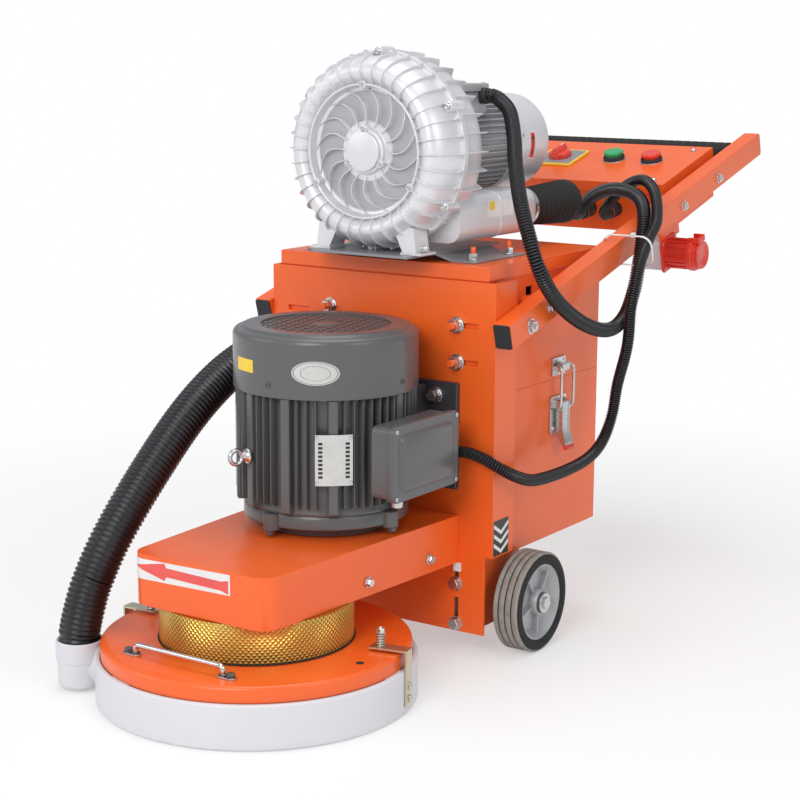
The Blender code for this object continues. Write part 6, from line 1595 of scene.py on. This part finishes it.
class GRINDER_OT_labels(bpy.types.Operator):
    """Blank plates, stickers and a turning arrow, each a thin sheet on its surface.

    A bent sheet's points are (r cos a, r sin a, h) about the axis of what it lies on.
    """

    bl_idname = "grinder.labels"
    bl_label = "Plates and stickers"
    bl_options = {"REGISTER", "UNDO"}

    def execute(self, context):
        angle, z = -48.8, 0.3514
        plate = sheet((0, MOTOR_Y, z), 0.1390, 0.0008, spread(angle, 11.4, 36), 0.0378)
        piece("maker_plate", plate, "plate_metal", "motor_frame")
        rivet = turned("0 0, 3.2 0, 2.6 1, 0 1.4", steps=16)
        rivets = [rivet.at(around(a, 0.1398, z + up) + MOTOR, around(a, 1))
                  for a in (angle - 10.2, angle + 10.2) for up in (-0.0335, 0.0335)]
        piece("maker_plate_rivets", rivets, "bright_zinc", "motor_frame")
        u = np.linspace(-1, 1, 36)
        oval = sheet((0, MOTOR_Y, OVAL_Z), 0.1402, 0.0006, OVAL_ANGLE + OVAL_HALF * u,
                     OVAL_RISE * np.sqrt(np.clip(1 - u**2, 0.0004, 1)))
        piece("oval_plate", oval, "plate_metal", "motor_cowl")
        gold = sheet((0, MOTOR_Y, 0.4814), 0.1402, 0.0004, spread(-112, 9, 36), 0.0095)
        piece("gold_sticker", gold, "yellow_plastic", "motor_cowl")
        ticks = [sheet((0, MOTOR_Y, z + k * 0.0062), 0.1398, 0.0002, spread(a, 1.3, 5), 0.0019)
                 for k in range(-4, 5) for a in (angle - 8.2, angle + 8.2)]
        piece("maker_plate_ticks", ticks, "black_vinyl", "motor_frame")
        piece("oval_plate_rings", [oval_ring(0.93), oval_ring(0.62)], "dark_steel", "motor_cowl")

        piece("cowl_sticker", on_cowl(0.0787, 0.0003, spread(-3, 17, 12), 0.0100),
              "white_vinyl", "blower_cowl")
        piece("cowl_sticker_panel", on_cowl(0.0790, 0.0002, spread(-3, 15, 12), 0.0072),
              "red_vinyl", "blower_cowl")
        arrow = [on_cowl(0.0792, 0.0003, spread(-5, 9, 12), 0.0014),
                 on_cowl(0.0792, 0.0003, np.linspace(4, 11, 8), np.linspace(0.0046, 0.0003, 8))]
        piece("cowl_sticker_arrow", arrow, "black_vinyl", "blower_cowl")
        label = prism(rounded(0.0760, 0.0270, 0.002, (0.4585, 0.6915)), 0.13005, 0.1303, "X")
        patch = prism(rounded(0.0160, 0.0140, 0.002, (0.4330, 0.6965)), 0.1303, 0.1305, "X")
        piece("silencer_label", label, "white_vinyl", "blower_rear_casing")
        piece("silencer_patch", patch, "yellow_plastic", "blower_rear_casing")
        return {"FINISHED"}


# ------------------------------------------------------------------ finishes on the frame's nodes
class GRINDER_OT_finishes(bpy.types.Operator):
    """Paints the frame's own nodes that stay in view and rounds their edges."""

    bl_idname = "grinder.finishes"
    bl_label = "Finishes on the frame"
    bl_options = {"REGISTER", "UNDO"}

    def execute(self, context):
        sizes = context.scene.grinder_sizes
        looks = {
            "orange_paint": ("orange_enamel", sizes.edge_round),
            "motor_grey_paint": ("motor_enamel", 0.0015),
            "cast_aluminium": ("silver_casting", 0.0012),
            "bright_steel": ("bright_zinc", 0.0004),
            "zinc_plate": ("yellow_zinc", 0.0004),
            "dark_steel": ("dark_steel", 0.0008),
            "base_plate_grey": ("bracket_grey", 0.0006),
            "gold_wrap": ("gold_foil", 0.0015),
            "white_urethane": ("skirt_white", 0.0010),
            "tyre_rubber": ("tread_rubber", 0.0020),
            "black_rubber": ("black_rubber", 0.0006),
            "black_plastic": ("black_plastic", 0.0008),
            "filter_paper": ("filter_cloth", 0.0),
            "red_plastic": ("red_plastic", 0.0008),
            "green_plastic": ("green_plastic", 0.0008),
            "grit_metal": ("grit_steel", 0.0006),
        }
        for entry in FRAME["record"]["subparts"]:
            look, edge = looks[entry["material_slot"]]
            if not FRAME["nodes"][entry["node"]].hide_render:
                dress(entry["node"], look, edge)
        return {"FINISHED"}


OPERATORS = (
    GRINDER_OT_stage, GRINDER_OT_cords, GRINDER_OT_head, GRINDER_OT_skirt, GRINDER_OT_arm,
    GRINDER_OT_motor, GRINDER_OT_blower, GRINDER_OT_wheels, GRINDER_OT_frame, GRINDER_OT_handle,
    GRINDER_OT_controls, GRINDER_OT_labels, GRINDER_OT_finishes,
)


class GRINDER_PT_panel(bpy.types.Panel):
    """The add-on's steps, one button each."""

    bl_idname = "GRINDER_PT_panel"
    bl_label = "Concrete Floor Grinder"
    bl_space_type = "VIEW_3D"
    bl_region_type = "UI"
    bl_category = "Grinder"

    def draw(self, context):
        column = self.layout.column()
        for group in (context.scene.grinder_sizes, context.scene.grinder_finishes):
            for name in group.__annotations__:
                column.prop(group, name)
        for operator in OPERATORS:
            column.operator(operator.bl_idname)


CLASSES = (GRINDER_PG_sizes, GRINDER_PG_finishes, *OPERATORS, GRINDER_PT_panel)


def register():
    for item in CLASSES:
        bpy.utils.register_class(item)
    bpy.types.Scene.grinder_sizes = PointerProperty(type=GRINDER_PG_sizes)
    bpy.types.Scene.grinder_finishes = PointerProperty(type=GRINDER_PG_finishes)


def unregister():
    del bpy.types.Scene.grinder_finishes
    del bpy.types.Scene.grinder_sizes
    for item in reversed(CLASSES):
        bpy.utils.unregister_class(item)


def main():
    register()
    for operator in OPERATORS:
        group, name = operator.bl_idname.split(".")
        getattr(getattr(bpy.ops, group), name)()


if __name__ == "__main__":
    main()
